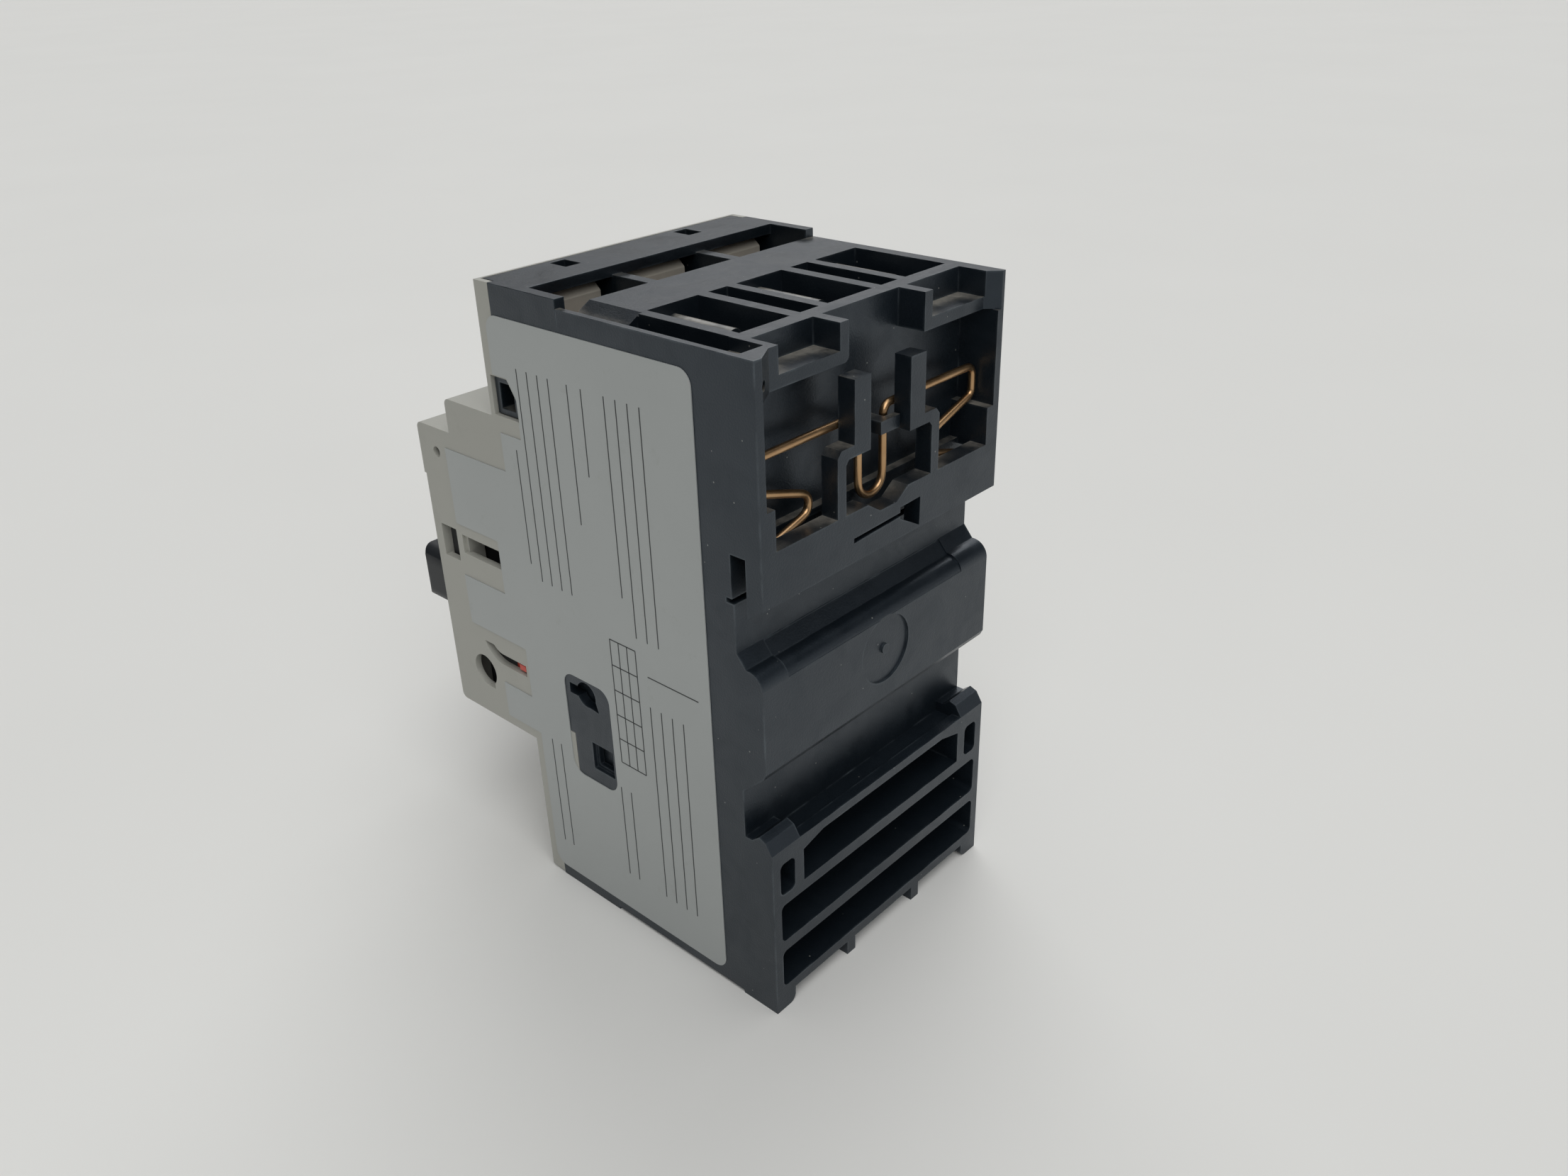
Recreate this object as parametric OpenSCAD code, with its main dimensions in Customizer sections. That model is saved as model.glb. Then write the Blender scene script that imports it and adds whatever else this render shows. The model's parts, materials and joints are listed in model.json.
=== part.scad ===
// Three-pole motor protection breaker that snaps on a 35 mm top-hat rail.
// Sizes are in millimetres. Inside the modules a depth is counted from the rear face
// towards the front, a height from the foot upwards, and X runs right seen from the front.

/* [Housing] */
// Width of the body across the three poles
body_w = 45; // [44:0.5:50]
// Height of the terminal frame from its foot
body_h = 90; // [88:0.5:96]
// Depth of the rear base
base_d = 31; // [30.5:0.5:34]
// Depth of the terminal frame
frame_d = 12.5; // [12.5:0.25:15]
// How far the top of the rear base lies below the top of the frame
base_low = 1.15; // [0.6:0.05:1.6]
// Thickness of the outer side walls of the pole chambers
shell = 1.65; // [1.5:0.05:2]
// Thickness of the walls between the poles
partition = 1.8; // [1.4:0.1:2.2]
// Gap left under the base between its feet
foot_gap = 0.45; // [0.2:0.05:0.8]

/* [Rail slot] */
// How far the rail's centre line lies below the top of the frame
rail_drop = 45; // [44:0.25:45.5]
// Width of the mounting rail
rail_w = 35; // [34:0.25:35.5]
// Depth of the seat on which the rail's flanges lie
seat_d = 4.4; // [4:0.1:4.8]
// Room between the rail's lower edge and the fixed hook
rail_play = 0.3; // [0.1:0.1:0.8]
// How far the retaining wall reaches down behind the rail's upper edge
lip_reach = 2.2; // [1.6:0.1:2.6]
// Thickness of the retaining wall and of the prongs above it
keep_t = 2.4; // [2:0.1:2.6]
// How far the bulge rises above the rail's centre line
bulge_up = 6.75; // [6:0.05:7.2]
// How far the bulge reaches below the rail's centre line
bulge_down = 6.9; // [6:0.1:7.5]
// How far the bulge stays in front of the rear face
bulge_set = 0.5; // [0.4:0.05:1]
// Height of the hook's nose above the notch floor
hook_rise = 1; // [0.6:0.1:1.4]
// Length of the raised hook at each end of the slot
hook_len = 5.2; // [4:0.1:7]

/* [Spring chamber] */
// Depth of the open chamber behind the retaining wall
chamber_d = 5.6; // [5:0.1:6.2]
// Height of the retaining wall above the rail's upper edge
keep_rise = 4.3; // [3.8:0.1:5]
// Thickness of the chamber's side walls
chamber_side = 1.2; // [1.1:0.05:1.5]
// Diameter of the spring wire
wire_d = 1.05; // [0.8:0.05:1.2]
// Height of the spring's upper arms above the rail's upper edge
arm_rise = 14.2; // [13.6:0.1:14.8]
// Width of a prong
prong_w = 2.9; // [2:0.1:3.2]
// Distance of a prong's inner side from the middle
prong_in = 3.7; // [3.4:0.1:4]
// Thickness of the bent ribs that carry the prongs
rib_t = 1.5; // [1.2:0.1:1.7]

/* [Top of the base] */
// Distance of the vent pockets from the rear face
vent_back = 7.8; // [7.4:0.1:8.6]
// Length of the vent pockets
vent_len = 14.4; // [10:0.2:16]
// Depth of the vent pockets
vent_depth = 6.5; // [4:0.25:7]
// Width of the wide vent pocket of each pole
vent_wide = 8.1; // [6:0.1:8.4]
// Width of the narrow vent pocket of each pole
vent_narrow = 3.2; // [2.4:0.1:3.4]
// Thickness of the crossbar behind the vents
crossbar_t = 2.2; // [1.4:0.1:2.2]
// Depth of the two corner trays
tray_depth = 3.2; // [2.6:0.05:3.6]
// Thickness of the trays' floors and walls
tray_t = 1.5; // [1.2:0.1:1.8]
// How far the trays stay in front of the rear face
tray_set = 1.7; // [1.2:0.1:2.2]

/* [Lower block] */
// Depth of the core-out pockets
pocket_depth = 8; // [5:0.5:9]
// Thickness left over the highest pocket
pocket_roof = 0.8; // [0.6:0.1:1.4]
// Thickness of the bars between the pockets
bar_t = 1.7; // [1.3:0.1:1.8]
// Height of the lowest pocket above the foot
pocket_low = 3.8; // [3.4:0.1:4.2]
// Height of the open wedge under the rear edge
wedge_h = 2.3; // [1.4:0.1:2.6]

/* [Front cover] */
// Thickness of the flange strip of the front cover
flange_t = 2.7; // [2.4:0.1:3.5]
// Wall thickness of the nose
nose_wall = 1.8; // [1.5:0.1:2]
// Wall thickness of the nose's two sides
side_wall = 1; // [0.9:0.1:1.4]
// Height of the nose
nose_h = 44.4; // [43.8:0.1:45.2]
// Distance of the nose's upper step from the top of the frame
step_drop = 17.3; // [16.8:0.1:17.8]
// Height difference of the two steps
step_rise = 4.9; // [4:0.1:5.5]
// Depth of the upper step in front of the flange
step_d = 10.5; // [8:0.25:12]
// Depth of the nose in front of the flange
nose_d = 17.7; // [17:0.1:21]
// Height of the lip along the nose's upper edge
lip_h = 7.6; // [5:0.2:9]
// How far that lip stands proud of the nose
lip_proud = 0.4; // [0.2:0.05:0.6]
// Thickness of the label film
film_t = 0.12; // [0.08:0.02:0.2]

/* [Knob and controls] */
// Height of the knob's axis above the underside of the nose
knob_rise = 12.5; // [12.3:0.1:13.5]
// Diameter of the knob's hub
hub_d = 21; // [16:0.5:22]
// Length of the knob's bar handle
bar_len = 30.5; // [24:0.5:33]
// Width of the bar handle
bar_w = 9.1; // [7:0.1:10]
// How far the knob stands out in front of the nose
knob_out = 18.3; // [12:0.1:20]
// Corner radius of the bar handle
bar_r = 2.4; // [1:0.1:3]
// Diameter of the knob's shaft
shaft_d = 7.8; // [6:0.2:9]
// Diameter of the current setting dial
dial_d = 10.4; // [8:0.2:11]
// Distance of the dial and the test button from the sides of the body
control_in = 9.5; // [9.1:0.1:9.9]
// Height of the dial and the test button above the underside of the nose
control_rise = 31.1; // [30.1:0.25:31.1]
// Travel of the test button
test_travel = 2; // [1:0.25:3]
// Travel of the trip indicator along its slot
flag_travel = 4; // [3:0.25:4]

/* [Poles] */
// Distance of the terminal screws from each end of the body
screw_in = 9; // [8.5:0.25:9.5]
// Diameter of the terminal screws' shanks
screw_d = 3.9; // [3:0.1:4]
// Diameter of the terminal screws' heads
head_d = 7; // [6:0.1:7.2]
// Travel of a terminal clamp
clamp_travel = 4; // [2.5:0.25:4]
// Thickness of the copper terminals and contact pieces
copper_t = 1.2; // [0.8:0.1:1.3]
// Gap between open contacts
contact_gap = 3; // [2:0.25:3.5]
// How far the upper contacts lie below the top of the frame
contact_drop = 22; // [21.5:0.25:22.5]
// Distance between the upper and the lower contacts
contact_span = 14; // [13:0.25:14.25]
// Diameter of the contact buttons
button_d = 4.6; // [3.5:0.1:4.8]
// How far the trip coils' axes lie below the lower contacts
coil_drop = 11; // [10.8:0.1:11.2]
// Diameter of the striker in each coil
striker_d = 4; // [3:0.1:4.4]
// Number of arc plates in each chute
arc_plates = 6; // [4:1:7]
// Thickness of the bimetal strips
bimetal_t = 0.9; // [0.6:0.05:1]

/* [Hidden] */
$fn = 48;
POLES = [1, 2, 3];
SINGLE = ["rear_base", "terminal_frame", "front_cover", "label_film", "rail_spring", "knob",
          "knob_shaft", "setting_dial", "test_button", "trip_indicator", "mechanism_plate",
          "lock_frame", "toggle_lever", "contact_carrier", "contact_springs", "trip_bar", "heaters"];
PER_POLE = ["line_terminal", "load_terminal", "line_clamp", "load_clamp", "line_screw", "load_screw",
            "lower_contact", "bridge", "arc_chute", "trip_coil", "yoke", "striker", "bimetal"];

// Clearances
slip = 0.1;
run_fit = 0.05;
cut = 1;

// Main planes
hw = body_w / 2;
frame_front = base_d + frame_d;
cover_front = frame_front + flange_t;
nose_face = cover_front + nose_d;
base_top = body_h - base_low;
pole_w = (body_w - 2 * shell - 2 * partition) / 3;
pole_pitch = pole_w + partition;

// Rail slot and spring chamber
rail_h = body_h - rail_drop;
rail_top = rail_h + rail_w / 2;
notch_low = rail_h - rail_w / 2 - rail_play;
hook_d = 3.3;
hook_groove = 1.5;
lip_z = rail_top - lip_reach;
lip_bevel = 1.6;
keep_top = rail_top + keep_rise;
exit_high = rail_top + 3.5;
crest = rail_h + bulge_up;
tray_floor = base_top - tray_depth;
chamber_top = tray_floor - tray_t;
chamber_half = hw - chamber_side;
step_half = chamber_half - 1.3;
step_top = keep_top + 5;
prong_rise = 6.8;
prong_foot = keep_top + prong_rise;
prong_top = chamber_top - 1.5;
rib_out = prong_in + prong_w + 3;

// Lower block
pocket_rows = 3;
pocket_room = notch_low - hook_groove - pocket_roof - pocket_low;
pocket_h = (pocket_room - (pocket_rows - 1) * bar_t) / pocket_rows;

// Trays on top, with a wider gap beside the middle on one side
tray_in = 5.5;
tray_gap = 8.4;
tray_out = hw - 5.5;

// Channel along one upper edge
rim_t = 0.8;
channel_x = hw - 4.5;
channel_d = [8.2, 22];
channel_sink = 1.5;

// Pole chambers in the base
back_wall = 1;
chamber_back = max(pocket_depth, vent_back) + back_wall;
chamber_low = 4;
chamber_high = base_top - vent_depth - 2.35;

// Front cover
step_z = body_h - step_drop;
nose_z = step_z - step_rise;
nose_low = nose_z - nose_h;
knob_z = nose_low + knob_rise;
control_x = hw - control_in;
control_z = nose_low + control_rise;
flag_z = nose_low + 11.1;
step_face = cover_front + step_d;
cover_half = hw - side_wall;
foot_step = 0.4;
hook_x = 10.65;
hook_w = 2.1;
hook_reach = 1.6;
lip_half = hw - 1;
lip_t = 1.4;
lip_d = 2.1;
test_half = [1.6, 3];

// Side tongues of the base and the cover
tongue_t = 1.4;
tongue_len = 7.4;
tongue_split = 5.7;
tongue_low = nose_low - 2.9;
tongue_mid = tongue_low + 8;
tongue_high = tongue_low + 19.5;

// Panes in the side, each as two depths and two heights
latch_pane = [cover_front - 5.6, cover_front - 0.8, body_h - 17, body_h - 11.8];
square_pane = [cover_front + 12.5, cover_front + 16, nose_low + 24.7, nose_low + 29.6];
long_pane = [cover_front + 2.8, cover_front + 11.2, nose_low + 26.4, nose_low + 29.2];
service_pane = [base_d - 2.5, base_d + 6.7, tongue_low + 1.4, tongue_low + 17.8];
latch_in = 3.5;
loop_t = 0.9;
loop_back = latch_pane[0] - 1.2;
loop_z = [latch_pane[2] - 2.4, latch_pane[3] + 1];

// Terminals
line_z = body_h - screw_in;
load_z = screw_in;
bay_half = pole_w / 2 + 0.1;
bay_d = 10;
mouth_d = 6.5;
plate_half = 3.8;
clamp_half = 5;
clamp_t = 1.4;
clamp_front = base_d + 8.6;
ear_len = clamp_front - clamp_t - clamp_travel - base_d - 0.4;
head_h = 2.7;

// Frame ring
ring = 3;
ring_low = load_z + 7;
ring_high = line_z - 7;

// Contacts
contact_hi = body_h - contact_drop;
contact_lo = contact_hi - contact_span;
contact_mid = (contact_lo + contact_hi) / 2;
fixed_face = 23.2;
button_t = 0.8;
bar_copper = 1;
bridge_front = fixed_face - contact_gap;
bridge_bar = bridge_front - button_t;
tab_d = fixed_face + button_t;
foot_z = contact_hi + 4;
finger_half = 2;
post_half = 3;
finger_low = contact_mid - 2.5;
finger_high = contact_mid + 2.5;
carrier_back = base_d + 2.2;
carrier_t = 3;
post_front = cover_front - 0.2;
spring_wire = 0.7;
spring_d = 5;
spring_turns = 5;

// Trip parts
yoke_t = 1.2;
yoke_half = 4;
yoke_back = 14.8;
yoke_front = 30.2;
yoke_under = 6.8;
yoke_over = 7;
coil_z = contact_lo - coil_drop;
yoke_low = coil_z - yoke_under;
yoke_high = coil_z + yoke_over;
bimetal_w = 5;
bimetal_d = 25.5;
load_foot = load_z + 8;
trip_d = base_d + 2.5;
trip_t = 2.5;
trip_high = yoke_low - 1.2;
trip_low = trip_high - 3;

// Mechanism
plate_t = 1.6;
plate_front = frame_front + plate_t;
pivot_d = plate_front + 8.9;
pivot_z = contact_mid - 11;
pin_d = 3;
lock_half = control_x - 6;
lock_t = 1.2;
pivot_tip = 3.9;
hub_t = 4.2;
hub_back = nose_face - 1.3;
socket = 3.4;
cheek_x = cover_half - 3.6;
cheek_t = 1.2;

function pole_x(k) = (k - 2) * pole_pitch;

// Moves the housing so that the rail's centre line on its seat is the origin
module placed() {
    translate([0, seat_d, -rail_h])
        children();
}

// Block between two X values, two depths and two heights
module block(x, d, z) {
    translate([x[0], -d[1], z[0]])
        cube([x[1] - x[0], d[1] - d[0], z[1] - z[0]]);
}

// Round bar along the depth
module bar_y(r, d, x, z) {
    translate([x, -d[0], z])
        rotate([90, 0, 0])
            cylinder(r = r, h = d[1] - d[0]);
}

// Outline in X and height, drawn through a range of depths
module seen_from_rear(d) {
    translate([0, -d[0], 0])
        rotate([90, 0, 0])
            linear_extrude(d[1] - d[0])
                children();
}

// Outline in depth (negative) and height, drawn through a range of X
module seen_from_side(x) {
    translate([x[0], 0, 0])
        rotate([90, 0, 90])
            linear_extrude(x[1] - x[0])
                children();
}

// Outline in X and depth (negative), drawn through a range of heights
module seen_from_top(z) {
    translate([0, 0, z[0]])
        linear_extrude(z[1] - z[0])
            children();
}

// Rectangle with round corners between two corner points
module round_rect(lo, hi, r) {
    size = hi - lo;
    translate([lo[0] + r, lo[1]])
        square([size[0] - 2 * r, size[1]]);
    translate([lo[0], lo[1] + r])
        square([size[0], size[1] - 2 * r]);
    for (x = [lo[0] + r, hi[0] - r])
        for (y = [lo[1] + r, hi[1] - r])
            translate([x, y])
                circle(r);
}

// Shaving that rounds off a square corner, whose material lies in the given direction
module corner_shaving(at, dir, r) {
    over = 0.1;
    centre = at + r * dir;
    outer = at - over * dir;
    difference() {
        translate([min(centre[0], outer[0]), min(centre[1], outer[1])])
            square(r + over);
        translate(centre)
            circle(r);
    }
}

// Rear base

// Bulge between the rail's flanges, seen from the side
module bulge_outline() {
    crest_r = 2.2;
    skirt = 1.7;
    low = rail_h - bulge_down;
    low_skirt = low - 4;
    polygon([[-seat_d - cut, crest + skirt], [-seat_d, crest + skirt], [-bulge_set - crest_r - 0.3, crest],
             [-bulge_set - crest_r, crest], [-bulge_set, crest - crest_r], [-bulge_set, low],
             [-bulge_set - 0.4, low - 0.8], [-seat_d, low_skirt], [-seat_d - cut, low_skirt]]);
    translate([-bulge_set - crest_r, crest - crest_r])
        circle(crest_r);
}

// Rail slot: seat, bulge and retaining wall as one profile across the body
module rail_slot() {
    seen_from_side([-hw - cut, hw + cut])
        difference() {
            polygon([[cut, lip_z], [0, lip_z], [-keep_t, lip_z - lip_bevel], [-keep_t, exit_high],
                     [-seat_d, exit_high], [-seat_d, notch_low], [-hook_d, notch_low],
                     [-hook_d + 1.2, notch_low + hook_rise], [-1, notch_low + 0.6], [0, notch_low - 1],
                     [cut, notch_low - 1]]);
            bulge_outline();
        }
}

// Room behind the retaining wall for the rail's edge, with a slit along its foot
module rail_pocket() {
    sink = 0.3;
    slit_d = 1.2;
    slit_h = 0.6;
    foot = lip_z - 0.5;
    block([-hw - cut, hw + cut], [keep_t, seat_d + sink], [foot, exit_high]);
    block([-hw - cut, hw + cut], [keep_t, seat_d + slit_d], [foot, foot + slit_h]);
    block([-step_half, step_half], [keep_t, seat_d], [exit_high - cut, keep_top + cut]);
}

// Middle of the fixed hook, which is cut back to a thin rib
module hook_relief() {
    rib = 1.6;
    half = hw - hook_len;
    block([-half, half], [rib, seat_d], [notch_low - hook_groove, notch_low + hook_rise + cut]);
    block([-half, half], [-cut, rib + cut], [notch_low - 1, notch_low + hook_rise + cut]);
}

// Strip sunk along the bulge's upper side, which runs out on its face, and the round mark there
module bulge_marks() {
    mark_r = 4.7;
    mark_depth = 0.3;
    mark_x = -0.3;
    gate_r = 0.7;
    strip_sink = 0.3;
    strip_low = crest - 2;
    strip_h = 3.6;
    seen_from_side([-hw + 6, hw - 4.5])
        difference() {
            translate([-seat_d, strip_low])
                square([seat_d, strip_h]);
            translate([0, -strip_sink])
                bulge_outline();
        }
    difference() {
        bar_y(mark_r, [bulge_set - cut, bulge_set + mark_depth], mark_x, rail_h + 0.2);
        bar_y(gate_r, [bulge_set - cut, bulge_set + 2 * mark_depth], mark_x, rail_h + 0.2);
    }
}

// Bent rib and prong on one side of the chamber, in the plane of the retaining wall
module prong_outline() {
    jog = 1.4;
    polygon([[rib_out - rib_t, keep_top - cut], [rib_out, keep_top - cut], [rib_out, prong_foot + 0.6],
             [rib_out - 0.7, prong_foot + jog], [prong_in + prong_w, prong_foot + jog],
             [prong_in + prong_w, prong_top], [prong_in, prong_top], [prong_in, prong_foot],
             [rib_out - rib_t - 0.5, prong_foot], [rib_out - rib_t, prong_foot - 0.6]]);
}

// Open chamber for the rail spring, with its side steps left standing
module spring_chamber() {
    difference() {
        union() {
            block([-chamber_half, chamber_half], [-cut, chamber_d], [keep_top, chamber_top]);
            block([-tray_gap, tray_in], [-cut, chamber_d], [chamber_top - cut, base_top + cut]);
        }
        for (side = [-1, 1])
            block([min(side * step_half, side * hw), max(side * step_half, side * hw)],
                  [-2 * cut, chamber_d + cut], [keep_top - cut, step_top]);
        for (side = [0, 1])
            mirror([side, 0, 0])
                seen_from_rear([0, keep_t])
                    prong_outline();
        wire_nib();
    }
}

// Small hook that holds one leg of the rail spring
module wire_nib() {
    nib_z = prong_foot + 0.4;
    nib_h = 1.6;
    block([-1.5, 0.3], [1.2, chamber_d + cut], [nib_z, nib_z + nib_h]);
    block([-3.3, 0.3], [1.2, 2.2], [nib_z, nib_z + nib_h]);
}

// Direction slot in the retaining wall, and the dip in its upper edge under the spring's loop
module keep_cuts() {
    tail_z = rail_top + 0.8;
    dip = 1.5;
    seen_from_rear([-cut, keep_t + cut]) {
        polygon([[6.7, tail_z - 0.5], [6.7, tail_z + 0.1], [-2.2, tail_z + 0.3], [-2.2, tail_z - 0.2]]);
        polygon([[-2.1, tail_z - 0.5], [-2.1, tail_z + 1], [-6.1, tail_z + 1.1], [-6, tail_z - 2.7]]);
        polygon([[4.1, keep_top + cut], [4.1, keep_top], [1.8, keep_top - dip], [-1.4, keep_top - dip],
                 [-3.6, keep_top], [-3.6, keep_top + cut]]);
    }
}

// Two open trays at the rear corners of the top, set back from the rear face between slanted ends
module trays() {
    lip_r = 0.8;
    for (x = [[tray_in + tray_t, tray_out], [0.7 - chamber_half, -tray_gap - tray_t]])
        block(x, [-cut, vent_back - crossbar_t], [tray_floor, base_top + cut]);
    seen_from_top([chamber_top - 0.1, base_top + cut])
        polygon([[0.5 - hw, cut], [0.5 - hw, 0], [2 - hw, -tray_set], [hw - 4, -tray_set],
                 [chamber_half, 0], [chamber_half, cut]]);
    seen_from_rear([-cut, chamber_d])
        corner_shaving([tray_in, chamber_top], [1, 1], lip_r);
}

// Vent pockets of one pole, with a half-round bar in the wide one
module vents(x) {
    wide_x = x - 2.15;
    narrow_x = x + 5;
    bar_r = 1.2;
    bar_end = 4.6;
    floor_z = base_top - vent_depth;
    difference() {
        block([wide_x - vent_wide / 2, wide_x + vent_wide / 2], [vent_back, vent_back + vent_len],
              [floor_z, base_top + cut]);
        bar_y(bar_r, [vent_back + bar_end, vent_back + vent_len + cut], wide_x, base_top - 2.5);
    }
    block([narrow_x - vent_narrow / 2, narrow_x + vent_narrow / 2], [vent_back, vent_back + vent_len],
          [floor_z, base_top + cut]);
}

// Channel along one upper edge: sloped in front, a deep pocket in the middle and a scoop at the rear
module side_channel() {
    slope_x = [hw - 5.2, hw - 2.5];
    scoop_d = 4.3;
    rim_x = hw - rim_t;
    low = base_top - channel_sink;
    seen_from_rear([channel_d[1] - 0.1, base_d + cut])
        polygon([[slope_x[0], base_top + cut], [slope_x[0], base_top], [slope_x[1], low], [rim_x, low],
                 [rim_x, base_top + cut]]);
    block([channel_x, rim_x], channel_d, [base_top - vent_depth, base_top + cut]);
    block([channel_x, rim_x], [scoop_d, channel_d[0] + 0.1], [low, base_top + cut]);
    seen_from_side([channel_x, rim_x])
        translate([-scoop_d, base_top])
            circle(channel_sink);
}

// Three rows of pockets in the lower block
module lower_pockets() {
    half = hw - 1.4;
    mid = hw - 5.8;
    pitch = pocket_h + bar_t;
    top_low = pocket_low + 2 * pitch;
    corner = 0.8;
    chamfer = 1;
    small_w = 2.7;
    small_x = half - small_w / 2;
    seen_from_rear([-cut, pocket_depth]) {
        for (z = [pocket_low, pocket_low + pitch])
            round_rect([-half, z], [half, z + pocket_h], corner);
        polygon([[-mid, top_low], [mid, top_low], [mid, top_low + pocket_h - chamfer],
                 [mid - 3.9, top_low + pocket_h], [3.9 - mid, top_low + pocket_h],
                 [-mid, top_low + pocket_h - chamfer]]);
        for (x = [-small_x, small_x])
            round_rect([x - small_w / 2, top_low], [x + small_w / 2, top_low + pocket_h - chamfer], corner);
    }
}

// Open wedge under the rear edge, with two gussets left standing
module foot_wedge() {
    foot_half = hw - 3.6;
    gusset_t = 1.7;
    wedge_d = 6;
    foot_r = 1.2;
    for (side = [0, 1])
        mirror([side, 0, 0])
            seen_from_rear([-cut, wedge_d])
                corner_shaving([foot_half, 0], [1, 1], foot_r);
    difference() {
        seen_from_side([-foot_half, foot_half])
            polygon([[cut, -cut], [cut, wedge_h], [0, wedge_h], [-wedge_d, foot_gap], [-wedge_d, -cut]]);
        for (x = [-pole_pitch / 2, pole_pitch / 2])
            block([x - gusset_t / 2, x + gusset_t / 2], [-2 * cut, wedge_d + cut],
                  [-2 * cut, wedge_h + cut]);
    }
    block([-hw - cut, hw + cut], [wedge_d, base_d + cut], [-cut, foot_gap]);
}

// Side tongue of the base that reaches over the frame, notched for the cover's tongue
module base_tongue() {
    difference() {
        block([hw - tongue_t, hw], [base_d - cut, base_d + tongue_len], [tongue_low, tongue_high]);
        block([hw - 2 * tongue_t, hw + cut], [base_d + tongue_split, base_d + tongue_len + cut],
              [tongue_low - cut, tongue_mid]);
    }
}

// Keyhole and square funnel in the side, both reached through the label's opening
module service_holes() {
    key_z = tongue_low + 15.5;
    key_r = 1.9;
    key_x = -base_d - 2.3;
    funnel = [-base_d - 1.7, tongue_low + 4.2];
    funnel_size = [3.2, 3.3];
    rim = 0.5;
    seen_from_side([hw - 4, hw + cut]) {
        translate([key_x, key_z])
            circle(key_r);
        translate([key_x - 3.4, key_z - 0.8])
            square([3, 1.6]);
        polygon([[key_x - 0.9, key_z - 1.7], [key_x + 2.3, key_z - 2], [key_x + 1.7, key_z]]);
        translate(funnel)
            square(funnel_size);
    }
    seen_from_side([hw - 0.6, hw + cut])
        translate(funnel - [rim, rim])
            square(funnel_size + 2 * [rim, rim]);
}

module rear_base() {
    seat_half = 3;
    relief_d = 7;
    placed()
        color("#3a3e45")
            difference() {
                union() {
                    block([-hw, hw], [0, base_d], [0, base_top]);
                    base_tongue();
                }
                rail_slot();
                rail_pocket();
                hook_relief();
                bulge_marks();
                spring_chamber();
                keep_cuts();
                trays();
                side_channel();
                lower_pockets();
                foot_wedge();
                service_holes();
                bar_y(0.6, [-cut, 3], hw - 1.7, chamber_top + 1.6);
                for (k = POLES) {
                    vents(pole_x(k));
                    difference() {
                        translate([pole_x(k), 0, 0])
                            block([-pole_w / 2, pole_w / 2], [chamber_back, base_d + cut],
                                  [chamber_low, chamber_high]);
                        translate([pole_x(k), 0, coil_z])
                            block([-seat_half, seat_half], [chamber_back - cut, yoke_back],
                                  [-seat_half, seat_half]);
                    }
                    bar_y(screw_d / 2 + 0.5, [base_d - relief_d, base_d + cut], pole_x(k), line_z);
                }
            }
}

// Terminal frame

// Room for one terminal: bay, mouth for the wire, screw hole and slot for the copper
module terminal_bay(x) {
    bay_z = [line_z - 5.5, line_z + 7.6];
    block([x - bay_half, x + bay_half], [base_d - cut, base_d + bay_d], bay_z);
    block([x - bay_half, x + bay_half], [base_d - cut, base_d + mouth_d], [bay_z[0], body_h + cut]);
    block([x - plate_half - 0.4, x + plate_half + 0.4], [base_d - cut, base_d + copper_t + 0.4],
          [ring_high - cut, bay_z[0] + cut]);
    bar_y(head_d / 2 + 0.2, [base_d + bay_d - cut, frame_front + cut], x, line_z);
}

// Rectangle between two depths and two heights
module pane(p) {
    translate([-p[1], p[2]])
        square([p[1] - p[0], p[3] - p[2]]);
}

// Copies its children at the top and, mirrored, at the foot
module both_ends() {
    children();
    translate([0, 0, body_h])
        mirror([0, 0, 1])
            children();
}

// Window of the snap loop, grown by a margin, with its rear upper corner cut off
module latch_window(margin) {
    back = -latch_pane[0] + margin;
    front = -latch_pane[1] - margin;
    low = latch_pane[2] - margin;
    high = latch_pane[3] + margin;
    slant = [1.5, 2.4];
    polygon([[front, low], [back, low], [back, high - slant[1]], [back - slant[0], high], [front, high]]);
}

module terminal_frame() {
    nub_in = 0.5;
    nub_gap = 0.15;
    nub_wall = 0.9;
    nub_floor = 0.7;
    lip_strip = 0.7;
    hook_low = 4.7;
    placed()
        color("#33373d")
            difference() {
                union() {
                    difference() {
                        block([-hw, hw], [base_d, frame_front], [0, body_h]);
                        block([hw - loop_t - slip, hw + cut], [loop_back - slip, frame_front + cut],
                              [loop_z[0] - slip, loop_z[1] + slip]);
                    }
                    block([-lip_half, lip_half], [frame_front - cut, frame_front + lip_d],
                          [body_h - lip_t, body_h]);
                    seen_from_side([hw - latch_in, hw - nub_in])
                        latch_window(-nub_gap);
                }
                block([hw - latch_in + nub_floor, hw + cut],
                      [latch_pane[0] + nub_wall + nub_gap, latch_pane[1] - nub_wall - nub_gap],
                      [latch_pane[2] + nub_wall, latch_pane[3] - nub_wall]);
                block([ring - hw, hw - ring], [base_d - cut, frame_front + cut], [ring_low, ring_high]);
                both_ends()
                    for (k = POLES)
                        terminal_bay(pole_x(k));
                block([-pole_pitch, pole_pitch], [base_d - cut, base_d + mouth_d], [base_top, body_h + cut]);
                for (x = [-hook_x, hook_x])
                    block([x - hook_w / 2 - 0.15, x + hook_w / 2 + 0.15],
                          [frame_front - hook_reach - 0.2, frame_front + lip_d - lip_strip],
                          [body_h - hook_low, body_h + cut]);
                block([hw - tongue_t - slip, hw + cut], [base_d - cut, base_d + tongue_len + slip],
                      [tongue_low - slip, tongue_high + slip]);
                block([hw - tongue_t - slip, hw + cut], [base_d + tongue_split - cut, frame_front + cut],
                      [tongue_low - slip, tongue_mid + slip]);
            }
}

// Front cover

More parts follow.
